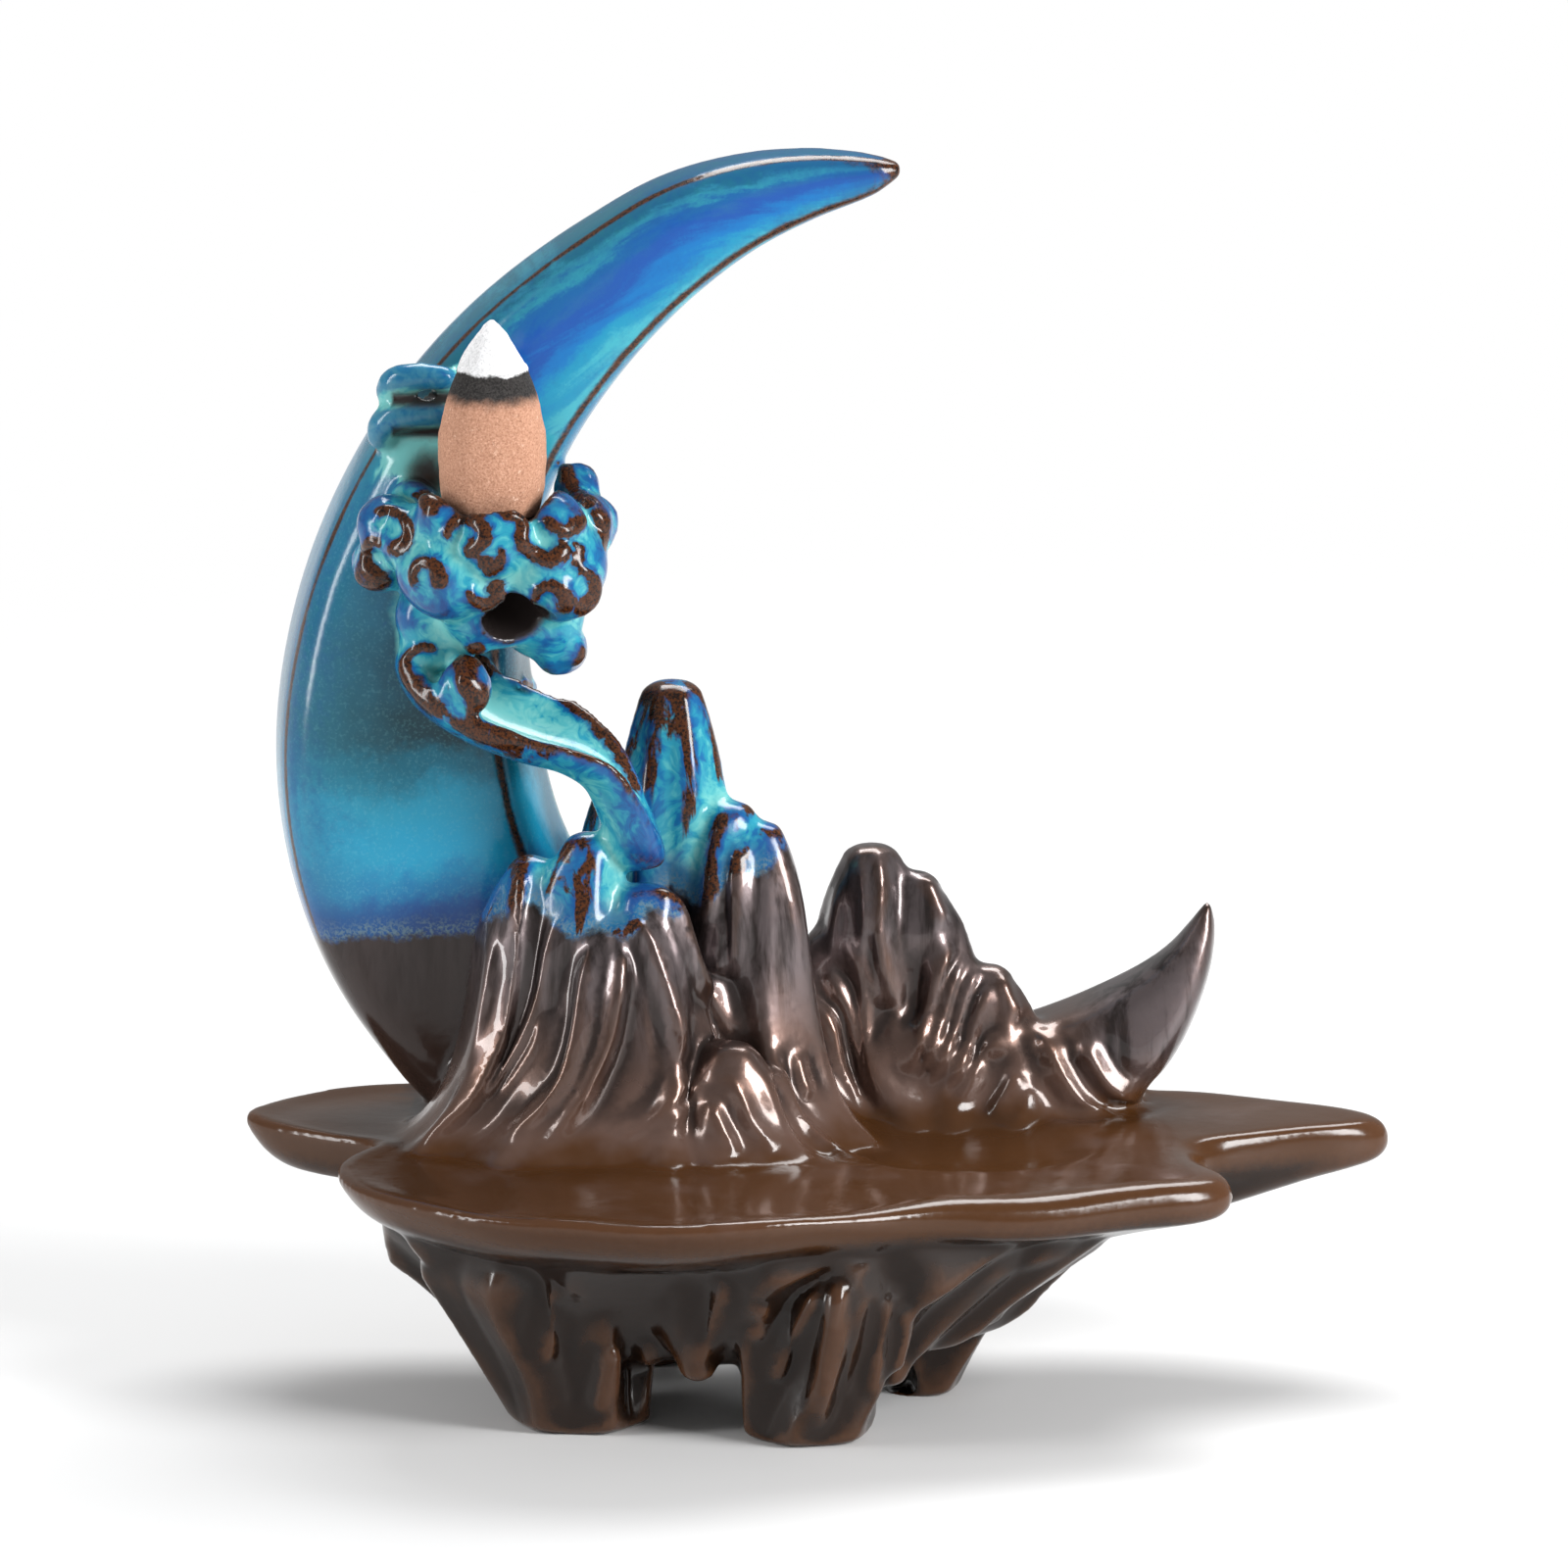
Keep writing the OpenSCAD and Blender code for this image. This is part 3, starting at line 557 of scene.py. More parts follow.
# Raised ribs and curls that are drawn on the skin as seen from the eye: how high each stands,
# then its places. A curl grows from a thin tail to a fat head
drawnRibs = {
    "eye": Vector((-4.2, -2226, 576.8)),
    "ribWidth": 1.3,
    "troughAt": 2.7,
    "curlWidth": (0.6, 1.6),
    "jump": 8,          # a line that leaps this far has passed from one form to the next
    "rise": {"rib": 1.6, "trough": 0.5, "curl": 0.95},
    # places in pixels across and down the photograph, read from it
    "ribs": [
        # left massif
        (1.2, (533, 880), (530, 930), (528, 985), (518, 1040), (500, 1085), (475, 1130), (430, 1165)),
        (0.9, (568, 935), (560, 975), (553, 1015), (540, 1050), (522, 1085), (490, 1125), (450, 1155)),
        (0.6, (556, 1020), (550, 1060), (530, 1095), (500, 1130), (465, 1160)),
        (1.1, (606, 950), (598, 1010), (590, 1060), (576, 1105), (552, 1135), (515, 1162)),
        (0.9, (635, 972), (628, 1020), (620, 1060), (605, 1095), (588, 1130), (560, 1165)),
        (0.9, (637, 938), (658, 953), (672, 985), (683, 1020), (692, 1050), (699, 1080)),
        (0.8, (672, 905), (692, 928), (703, 960), (713, 990), (728, 1020), (745, 1055)),
        (0.6, (702, 1092), (684, 1125), (655, 1152), (610, 1172)),
        (0.8, (740, 828), (730, 870), (727, 910), (720, 950)),
        (0.7, (752, 860), (750, 905), (750, 960), (748, 1000)),
        (0.5, (732, 930), (736, 970), (730, 1000)),
        (0.9, (785, 1070), (797, 1105), (812, 1140), (832, 1164), (860, 1180), (905, 1192)),
        (0.6, (742, 1092), (755, 1120), (768, 1150), (792, 1174)),
        (0.6, (722, 1124), (735, 1150), (752, 1180)),
        (0.5, (716, 1102), (700, 1130), (680, 1152)),
        # right massif
        (0.7, (875, 865), (882, 900), (883, 940), (879, 975), (890, 1010), (901, 1032)),
        (0.7, (893, 862), (897, 900), (896, 950), (901, 990), (908, 1030)),
        (0.5, (945, 895), (955, 920), (966, 945)),
        (0.8, (862, 955), (876, 985), (882, 1020), (884, 1055), (890, 1090), (900, 1140)),
        (0.7, (845, 993), (862, 1025), (873, 1060), (884, 1098), (895, 1130)),
        (0.7, (833, 1022), (848, 1050), (856, 1085), (868, 1115), (882, 1142)),
        (0.5, (812, 1075), (818, 1100), (827, 1122)),
        (0.9, (972, 962), (958, 990), (950, 1020), (938, 1060), (926, 1095)),
        (0.8, (985, 975), (970, 1005), (962, 1035), (950, 1070), (935, 1102)),
        (0.8, (1000, 985), (985, 1012), (975, 1045), (962, 1080), (942, 1112)),
        (0.8, (1013, 1000), (1000, 1030), (990, 1060), (976, 1092), (952, 1124)),
        (0.5, (1020, 995), (1030, 1020), (1042, 1038)),
        (0.7, (1020, 1055), (1002, 1080), (987, 1108), (972, 1135)),
        (0.8, (1058, 1050), (1072, 1075), (1088, 1105), (1110, 1130), (1145, 1140)),
        (0.6, (1040, 1095), (1026, 1118), (1012, 1142)),
        (0.6, (1065, 1088), (1080, 1108), (1097, 1134)),
        (0.4, (1050, 1110), (1045, 1130), (1036, 1150)),
        (0.8, (1104, 1062), (1117, 1088), (1135, 1112), (1168, 1124)),
        # base
        (0.8, (568, 1310), (563, 1345), (556, 1395)),
        (0.7, (628, 1375), (618, 1410), (610, 1445)),
        (0.7, (664, 1365), (658, 1405), (654, 1445)),
        (0.8, (742, 1305), (728, 1350), (712, 1396)),
        (0.6, (780, 1330), (770, 1370)),
        (0.8, (840, 1309), (822, 1345), (800, 1385), (792, 1412)),
        (0.9, (859, 1310.5), (850, 1345), (842, 1400), (836, 1458)),
        (0.8, (905, 1320), (896, 1370), (890, 1425)),
        (0.7, (925, 1330), (918, 1380), (905, 1425)),
    ],
    "curls": [
        # on the cloud
        (1.1, (381, 528), (393, 521), (408, 525), (417, 540), (413, 555), (404, 560)),
        (0.9, (392, 560), (380, 552), (372, 565), (376, 582), (388, 590)),
        (1.0, (425, 604), (422, 585), (430, 574), (443, 578), (448, 592)),
        (1.1, (457, 558), (457, 540), (468, 531), (482, 531), (493, 540), (492, 553), (480, 562)),
        (1.2, (507, 530), (523, 527), (533, 537), (531, 552), (543, 563), (562, 572), (574, 562)),
        (0.8, (507, 556), (512, 570), (500, 585), (495, 575)),
        (1.0, (479, 598), (481, 611), (493, 618), (506, 612), (507, 600)),
        (1.0, (553, 527), (565, 538), (580, 543), (592, 533)),
        (0.7, (583, 553), (592, 560), (590, 570)),
        (1.1, (586, 582), (600, 584), (607, 597), (604, 612), (594, 621)),
        (1.0, (546, 617), (549, 603), (562, 598), (575, 604), (578, 618)),
        (1.0, (601, 520), (613, 533), (617, 552)),
        (0.9, (566, 470), (580, 484), (586, 502), (600, 512)),
        (0.7, (420, 503), (433, 508), (441, 520)),
        # on the chute's lip
        (1.0, (498, 668), (488, 660), (476, 668), (471, 684), (477, 702), (487, 716)),
        (0.8, (487, 690), (482, 680), (490, 672), (497, 682)),
        (0.9, (450, 668), (432, 660), (415, 670), (414, 688), (427, 706), (446, 724)),
    ],
    # along the chute, in millimetres in x and z
    "lipLines": [
        (0.7, (-40.4, 97.4), (-37, 96.4), (-34.2, 95.2), (-31, 93.2), (-28.6, 91), (-26, 87.6), (-23.6, 83)),
        (0.6, (-50.7, 96.9), (-50.2, 95), (-48.6, 92.8), (-46.2, 90.9), (-43.2, 89.4), (-40.6, 89)),
    ],
}


def drawnLines(kind):
    # each line's height, and its places in millimetres
    lines = [(high, [photoSpot(*spot) for spot in spots]) for high, *spots in drawnRibs[kind]]
    if kind == "curls":
        lines += [(high, spots) for high, *spots in drawnRibs["lipLines"]]
    return lines


def asObject(bm, name):
    mesh = bpy.data.meshes.new(name)
    bm.to_mesh(mesh)
    bm.free()
    piece = bpy.data.objects.new(name, mesh)
    bpy.context.scene.collection.objects.link(piece)
    return piece


def shadeSmooth(piece):
    piece.data.polygons.foreach_set("use_smooth", [True] * len(piece.data.polygons))


def bakedModifiers(piece):
    bpy.context.view_layer.update()
    shown = piece.evaluated_get(bpy.context.evaluated_depsgraph_get())
    mesh = bpy.data.meshes.new_from_object(shown)
    old = piece.data
    piece.modifiers.clear()
    piece.data = mesh
    bpy.data.meshes.remove(old)


def melt(piece, grain):
    remesh = piece.modifiers.new("melt", "REMESH")
    remesh.mode = "VOXEL"
    remesh.voxel_size = grain * mm
    bakedModifiers(piece)


def readPoints(mesh):
    co = np.empty(len(mesh.vertices) * 3)
    mesh.vertices.foreach_get("co", co)
    return co.reshape(-1, 3)


def readNormals(mesh):
    normals = np.empty(len(mesh.vertices) * 3)
    mesh.vertex_normals.foreach_get("vector", normals)
    return normals.reshape(-1, 3)


def writePoints(mesh, points):
    mesh.vertices.foreach_set("co", points.ravel())
    mesh.update()


passageDeep = 9.5


def passageAt(points):
    # how far in along the passage each point lies, and how far from its middle line
    mouth = np.array(cloudAt(*cloud["mouth"][:3]))
    bend = np.array((coneAt.x, coneAt.y, coneAt.z - 9))
    inward = (bend - mouth) / np.linalg.norm(bend - mouth)
    along = (points - mouth) @ inward
    return along, np.linalg.norm(points - mouth - np.outer(along, inward), axis=1), inward


def stampHollows(points):
    p = points / mm
    # the cup's flat seat
    near = np.hypot(p[:, 0] - coneAt.x, p[:, 1] - coneAt.y)
    inCup = (near < cloud["cup"]) & (p[:, 2] > coneAt.z) & (p[:, 2] < coneAt.z + cloud["cupHigh"])
    p[inCup, 2] = coneAt.z
    # the passage's mouth under the cloud, pressed in along the passage
    along, off, inward = passageAt(p)
    hit = (off < cloud["mouth"][3]) & (along > -4) & (along < passageDeep)
    p[hit] += np.outer(passageDeep - along[hit], inward)
    # the hollow under the base, pressed outwards and up between the feet
    middle = np.array((base["at"][0] + 0.5, base["at"][1], -0.5))
    size = np.array((*base["hollow"], plateUnder - base["roof"]))
    q = (p - middle) / size
    d = np.linalg.norm(q, axis=1)
    hit = (d < 1) & (d > 0.02) & (p[:, 2] > 0.3)
    p[hit] = middle + (p[hit] - middle) / d[hit][:, None]
    return p * mm


def meshEdges(mesh):
    # the two ends of every edge, and how many edges meet at each point
    edges = np.empty(len(mesh.edges) * 2, dtype=np.int32)
    mesh.edges.foreach_get("vertices", edges)
    count = np.bincount(edges, minlength=len(mesh.vertices)).astype(float)
    return (*edges.reshape(-1, 2).T, count)


def neighbourMean(values, edges):
    a, b, count = edges
    total = np.stack([np.bincount(a, column[b], len(column)) + np.bincount(b, column[a], len(column))
                      for column in values.T], axis=1)
    return total / count[:, None]


def soften(points, edges, times, weight):
    for _ in range(times):
        points = points + 0.6 * weight[:, None] * (neighbourMean(points, edges) - points)
    return points


def castLine(tree, line):
    # places on the skin under a drawn line, and how far along the line each lies
    eye = drawnRibs["eye"]
    steps = [(float(i), x, z) for i, (x, z) in enumerate(line)]
    count = int(steps[-1][0] * 5) + 1
    spots = []
    for i in range(count):
        share = i / (count - 1)
        x, z = smoothRow(steps, share * steps[-1][0])
        hit = tree.ray_cast(eye, (Vector((x, 0, z)) - eye).normalized())[0]
        if hit is not None:
            spots.append((*hit, share))
    return np.array(spots)


def drawnField(mesh, points, kind):
    # the drawn lines' height at each point, the troughs beside them, and how fully the point
    # lies on a line
    tree = BVHTree.FromPolygons([Vector(p) for p in points], [tuple(f.vertices) for f in mesh.polygons])
    height, trough, cover = (np.zeros(len(points)) for _ in range(3))
    for high, line in drawnLines(kind):
        spots = castLine(tree, line)
        low, top = spots[:, :3].min(axis=0) - 6, spots[:, :3].max(axis=0) + 6
        near = np.flatnonzero(((points > low) & (points < top)).all(axis=1))
        gap, along = np.full(len(near), 99.0), np.zeros(len(near))
        for a, b in zip(spots, spots[1:]):
            way = b[:3] - a[:3]
            if way @ way > drawnRibs["jump"] ** 2:
                continue
            t = np.clip((points[near] - a[:3]) @ way / max(way @ way, 1e-6), 0, 1)
            off = np.linalg.norm(points[near] - a[:3] - t[:, None] * way, axis=1)
            along = np.where(off < gap, a[3] + (b[3] - a[3]) * t, along)
            gap = np.minimum(off, gap)
        if kind == "ribs":
            fade = np.clip(np.minimum(along / 0.16, (1 - along) / 0.24), 0, 1) ** 0.7
            body = fade * np.exp(-(gap / drawnRibs["ribWidth"]) ** 1.35)
            beside = fade * np.exp(-((gap - drawnRibs["troughAt"]) / drawnRibs["ribWidth"]) ** 2)
            trough[near] = np.maximum(trough[near], high * beside)
        else:
            thin, fat = drawnRibs["curlWidth"]
            body = np.clip(along / 0.1, 0, 1) * np.exp(-(gap / (thin + (fat - thin) * along)) ** 2)
        height[near] = np.maximum(height[near], high * body)
        cover[near] = np.maximum(cover[near], min(1, high / 0.9) * body)
    return height, trough, cover


def drawRibs(mesh, points):
    rib, trough, cover = drawnField(mesh, points, "ribs")
    curl = drawnField(mesh, points, "curls")[0]
    rise = drawnRibs["rise"]
    push = rise["rib"] * rib - rise["trough"] * trough * (1 - cover) + rise["curl"] * curl
    return points + readNormals(mesh) * push[:, None]


def surfaceMarks(mesh):
    # how far each point stands proud of its smoothed surroundings, fine and broad
    points, normals = readPoints(mesh) / mm, readNormals(mesh)
    edges = meshEdges(mesh)
    low = points.copy()
    marks = {}
    for step in range(1, 61):
        low = neighbourMean(low, edges)
        if step in (6, 60):
            ridge = ((points - low) * normals).sum(axis=1)[:, None]
            for _ in range(2):
                ridge = neighbourMean(ridge, edges)
            marks["fineRidge" if step == 6 else "broadRidge"] = ridge[:, 0]
    return points, marks


def addMark(mesh, name, values):
    layer = mesh.attributes.new(name, "FLOAT", "POINT")
    layer.data.foreach_set("value", np.ascontiguousarray(values, dtype=np.float32))


def sculptBurner():
    bm = bmesh.new()
    addMoon(bm)
    print("moon shaped")
    for row in peakLook["rows"]:
        addPeak(bm, row)
    print("peaks folded")
    addPlateau(bm)
    addBase(bm)
    print("plateau and base shaped")
    addCloud(bm)
    addChute(bm)
    print("cloud and chute shaped")
    bmesh.ops.recalc_face_normals(bm, faces=bm.faces)
    bmesh.ops.scale(bm, vec=(mm, mm, mm), verts=bm.verts)
    piece = asObject(bm, "burnerCasting")
    melt(piece, skinLook["grain"])
    writePoints(piece.data, stampHollows(readPoints(piece.data)))
    melt(piece, skinLook["grain"])
    points = readPoints(piece.data) / mm
    edges = meshEdges(piece.data)
    # glaze rounds the peaks most, and the cloud and the crescent least
    x, z = points[:, 0], points[:, 2]
    onPeaks = (z > plateTop - 8) & (z < plateTop + 48) & (x > -47)
    points = soften(points, edges, skinLook["rounds"], np.where(onPeaks, 1, skinLook["least"]))
    writePoints(piece.data, points)
    points = drawRibs(piece.data, points)
    points = soften(points, edges, skinLook["roundsAfter"], np.ones(len(points)))
    writePoints(piece.data, points * mm)
    thin = piece.modifiers.new("thin", "DECIMATE")
    faces = sum(len(p.vertices) - 2 for p in piece.data.polygons)
    thin.ratio = min(1, skinLook["triangles"] / faces)
    bakedModifiers(piece)
    points = readPoints(piece.data)
    points[:, 2] = np.maximum(points[:, 2], 0)
    writePoints(piece.data, points)
    shadeSmooth(piece)
    print("casting melted into one skin,", len(piece.data.polygons), "faces")
    return piece


def markGlaze(piece):
    points, ridges = surfaceMarks(piece.data)
    for name, values in ridges.items():
        addMark(piece.data, name, values)
    addMark(piece.data, "curlCover", drawnField(piece.data, points, "curls")[2])
    x, y, z = points.T
    dx, dz = x - moon["centre"].x, z - moon["centre"].z
    turn = np.degrees(np.mod(np.arctan2(dz, dx), 2 * np.pi))
    out = np.hypot(dx, dz)
    # the crescent's face at each point's angle: its edges, and how far across it the point lies
    angles = np.linspace(moon["rows"][0][0], moon["rows"][-1][0], 240)
    table = np.array([(*moonSection(t), moonSlant(t)) for t in angles])
    middle, half, deep, back, slant = (np.interp(turn, angles, column) for column in table.T)
    full = deep / (moon["depth"] / 2)
    outer = middle + half - moon["bevel"] * full
    inner = middle - half + 0.25 * slant * full
    onWisp = (z > 121) & (z < 140) & (x > -64) & (x < -43) & (y > moonFront - 3.5) & (y < moonFront + 2.5)
    onMoon = (y > back - deep - 1.2) & (turn > angles[0]) & (turn < angles[-1]) & (out < middle + half + 1.5)
    inRing = onMoon & (out > inner - 3)
    onMoon = inRing & (z > 55) & ((y > back - deep + 0.6) | (x < -55) | (z > 122) | (z < 93))
    onMoon |= (out > inner - 5) & (out < middle + half) & (y > moonFront + 3) & (x < -38) & (z > 58)
    onMoon &= ~onWisp
    onFace = onMoon & (y < back - 0.2 * deep)
    fromFront = y - (back - deep)
    # the section's rounded corners, which lie a little inside its edges
    corner = 0.5 ** (1 / moon["squareness"])
    innerCorner = middle - corner * (half - slant * full * (corner / 2 - 0.25))
    innerGap = np.hypot(out - innerCorner, fromFront - (1 - corner) * deep)
    # the outer line runs past its corner, close to the outline
    reach = 0.975
    depthThere = (1 - reach ** moon["squareness"]) ** (1 / moon["squareness"])
    outerLine = middle + reach * (half - moon["bevel"] * full * ((1 + depthThere) / 2) ** 1.6)
    outerGap = np.hypot(out - outerLine, fromFront - (1 - depthThere) * deep)
    gap = np.minimum(outerGap / 0.8, innerGap)
    addMark(piece.data, "rimLine", np.exp(-gap ** 2) * onFace * ~onWisp)
    addMark(piece.data, "onWisp", onWisp)
    addMark(piece.data, "onStem", inRing * np.clip((-30 - x) / 14, 0, 1))
    addMark(piece.data, "onHorn", np.clip((x - 33) / 6, 0, 1) * np.clip((z - 36) / 6, 0, 1))
    addMark(piece.data, "onMoon", onMoon)
    addMark(piece.data, "acrossMoon", np.clip((out - inner) / np.maximum(outer - inner, 1), 0, 1))
    addMark(piece.data, "alongMoon", turn * 1.3)
    addMark(piece.data, "outFromMoon", out)
    # how far above the glaze's lower line a point lies: it covers the left massif's tops and
    # the crescent, all but its lower horn
    wave = 1.6 * np.sin(x * 0.31 + 1) + 1.0 * np.sin(x * 0.83 + y * 0.4)
    line = np.where(onMoon & (x < -38), 58.6 + 0.09 * (x + 60) + 0.15 * wave, 64 + wave)
    line = line + np.clip((x + 16) * 0.9, 0, 7)
    right = np.clip((z - 92) * 2, 0, 60) - np.clip(x + 2, 0, 100) * 3
    addMark(piece.data, "glazeRise", np.minimum(z - line, np.where(x > -2, right, 100)))
    # the left massif's tops, clear of the chute, and the places painted dark as shade: the cup's wall,
    # the passage's mouth, the slots between the wisps and the nook behind the cone
    way = np.array([smoothRow(chute["rows"], t)[:3] for t in np.linspace(0, chute["rows"][-1][0], 50)])
    way += np.array(moon["centre"])
    fromChute = np.min(np.linalg.norm(points[:, None, :] - way[None], axis=2), axis=1)
    addMark(piece.data, "onTops", (z < 96) & (fromChute > 7) & ~onMoon)
    along, off, _ = passageAt(points)
    # painted shade in the passage's mouth, on the cup's wall, in the slots between the wisps and in the nook
    # behind the cone
    dark = np.clip((cloud["mouth"][3] + 0.9 - off) / 0.6, 0, 1) * (along > -2.5) * (along < passageDeep + 1.5)
    inCup = ((np.hypot(x - coneAt.x, y - coneAt.y) < cloud["cup"] + 0.6)
             & (z > coneAt.z - 0.5) & (z < coneAt.z + 9))
    slots = np.exp(-((z - (coneAt.z + 12.9)) / 0.95) ** 4) + np.exp(-((z - (coneAt.z + 8.5)) / 0.95) ** 4)
    slots = slots * onWisp * (x > -55.5) * (x < -45)
    nook = np.exp(-(np.linalg.norm(points - np.array(cloudAt(-8.6, -1.5, 3.2)), axis=1) / 3.4) ** 6)
    addMark(piece.data, "darkPlaces", np.clip(dark + inCup + slots + nook, 0, 1))


burner = sculptBurner()
markGlaze(burner)


# materials

def newMaterial(name):
    material = bpy.data.materials.new(name)
    material.use_nodes = True
    nodes = material.node_tree.nodes
    return material, material.node_tree, nodes["Principled BSDF"]


def link(tree, a, b):
    tree.links.new(a, b)


def scaled(tree, vector, scale, shift=(0, 0, 0)):
    node = tree.nodes.new("ShaderNodeMapping")
    node.inputs["Location"].default_value = shift
    node.inputs["Scale"].default_value = scale
    link(tree, vector, node.inputs["Vector"])
    return node.outputs["Vector"]


def millimetres(tree, shift=(0, 0, 0)):
    # where a point lies on the piece, and how high
    place = tree.nodes.new("ShaderNodeTexCoord").outputs["Object"]
    point = scaled(tree, place, (1 / mm, 1 / mm, 1 / mm), shift)
    split = tree.nodes.new("ShaderNodeSeparateXYZ")
    link(tree, point, split.inputs["Vector"])
    return point, split.outputs["Z"]


def addBump(tree, shader, strength, height):
    bump = tree.nodes.new("ShaderNodeBump")
    bump.inputs["Strength"].default_value = strength
    bump.inputs["Distance"].default_value = 0.2 * mm
    link(tree, height, bump.inputs["Height"])
    link(tree, bump.outputs["Normal"], shader.inputs["Normal"])


def noiseNode(tree, vector, scale, detail=3.0, rough=0.55, distort=0.0):
    node = tree.nodes.new("ShaderNodeTexNoise")
    node.inputs["Scale"].default_value = scale
    node.inputs["Detail"].default_value = detail
    node.inputs["Roughness"].default_value = rough
    node.inputs["Distortion"].default_value = distort
    link(tree, vector, node.inputs["Vector"])
    return node.outputs["Fac"]


def ramp(tree, value, stops):
    node = tree.nodes.new("ShaderNodeValToRGB")
    node.color_ramp.interpolation = "EASE"
    while len(node.color_ramp.elements) < len(stops):
        node.color_ramp.elements.new(0.5)
    for element, (place, colour) in zip(node.color_ramp.elements, stops):
        element.position = place
        element.color = (*colour, 1)
    link(tree, value, node.inputs["Fac"])
    return node.outputs["Color"]


def mask(tree, value, low, high):
    node = tree.nodes.new("ShaderNodeMapRange")
    node.interpolation_type = "SMOOTHSTEP"
    node.inputs["From Min"].default_value = low
    node.inputs["From Max"].default_value = high
    link(tree, value, node.inputs["Value"])
    return node.outputs["Result"]


def maths(tree, kind, a, b):
    node = tree.nodes.new("ShaderNodeMath")
    node.operation = kind
    for socket, value in zip(node.inputs, (a, b)):
        if isinstance(value, (int, float)):
            socket.default_value = value
        else:
            link(tree, value, socket)
    return node.outputs["Value"]


def mixColour(tree, amount, a, b):
    node = tree.nodes.new("ShaderNodeMix")
    node.data_type = "RGBA"
    sockets = [s for s in node.inputs if s.enabled]
    for socket, value in zip(sockets, (amount, a, b)):
        if isinstance(value, (int, float)):
            socket.default_value = value
        elif isinstance(value, tuple):
            socket.default_value = (*value, 1)
        else:
            link(tree, value, socket)
    return next(s for s in node.outputs if s.enabled)


def mark(tree, name):
    node = tree.nodes.new("ShaderNodeAttribute")
    node.attribute_name = name
    return node.outputs["Fac"]


glazeLook = {
    # the crescent's glaze from its lower line up: height, then colour; the dark teal from 82 to 112 mm is
    # painted shadow under the cloud and the chute
    "crescent": [
        (58, (0.008, 0.050, 0.22)), (62, (0.006, 0.080, 0.31)), (65.5, (0.008, 0.16, 0.36)),
        (70, (0.012, 0.28, 0.46)), (76.5, (0.014, 0.27, 0.42)), (82, (0.004, 0.13, 0.20)),
        (87, (0.003, 0.036, 0.050)), (98, (0.004, 0.050, 0.085)), (112, (0.008, 0.095, 0.20)),
        (126, (0.016, 0.16, 0.28)),
    ],
    # its horn from the inner edge out
    "horn": [
        (0.0, (0.008, 0.16, 0.30)), (0.12, (0.045, 0.36, 0.44)), (0.26, (0.010, 0.24, 0.40)),
        (0.44, (0.005, 0.14, 0.40)), (0.62, (0.008, 0.070, 0.31)), (0.78, (0.012, 0.10, 0.28)),
        (0.90, (0.025, 0.22, 0.30)), (1.0, (0.012, 0.13, 0.19)),
    ],
    # in the folds and curls, from the hollows to the swells
    "flowing": [
        (0.0, (0.15, 0.46, 0.45)), (0.25, (0.080, 0.38, 0.41)), (0.50, (0.022, 0.26, 0.36)),
        (0.75, (0.008, 0.13, 0.31)), (1.0, (0.014, 0.055, 0.20)),
    ],
    "pale": (0.16, 0.47, 0.50),
    "breakBrown": (0.075, 0.023, 0.007),
    "breakDark": (0.010, 0.005, 0.004),
    # painted shade for the cup's wall, the passage's mouth, the slots between the wisps and the nook behind
    # the cone
    "hollow": (0.026, 0.020, 0.019),
    "olive": (0.060, 0.023, 0.007),
    "warm": (0.115, 0.068, 0.053),
    "shade": (0.026, 0.018, 0.017),
    # painted shade for the folds' valleys
    "valley": (0.018, 0.012, 0.011),
    "stem": (0.018, 0.010, 0.008),
    "base": (0.012, 0.0055, 0.003),
    "baseWarm": (0.042, 0.018, 0.008),
    "pearl": (0.130, 0.104, 0.106),
}


def heightRamp(tree, value, stops, low, high):
    # a ramp over a height in millimetres
    share = maths(tree, "DIVIDE", maths(tree, "SUBTRACT", value, low), high - low)
    return ramp(tree, share, [((z - low) / (high - low), colour) for z, colour in stops])


def centred(tree, value, size):
    return maths(tree, "MULTIPLY", maths(tree, "SUBTRACT", value, 0.5), size)


def shorthand(tree):
    # the steps that the glaze is built from, in its own tree
    sums = [partial(maths, tree, kind) for kind in ("ADD", "SUBTRACT", "MULTIPLY", "MAXIMUM")]
    return sums + [partial(step, tree) for step in (mask, mixColour, mark, centred)]


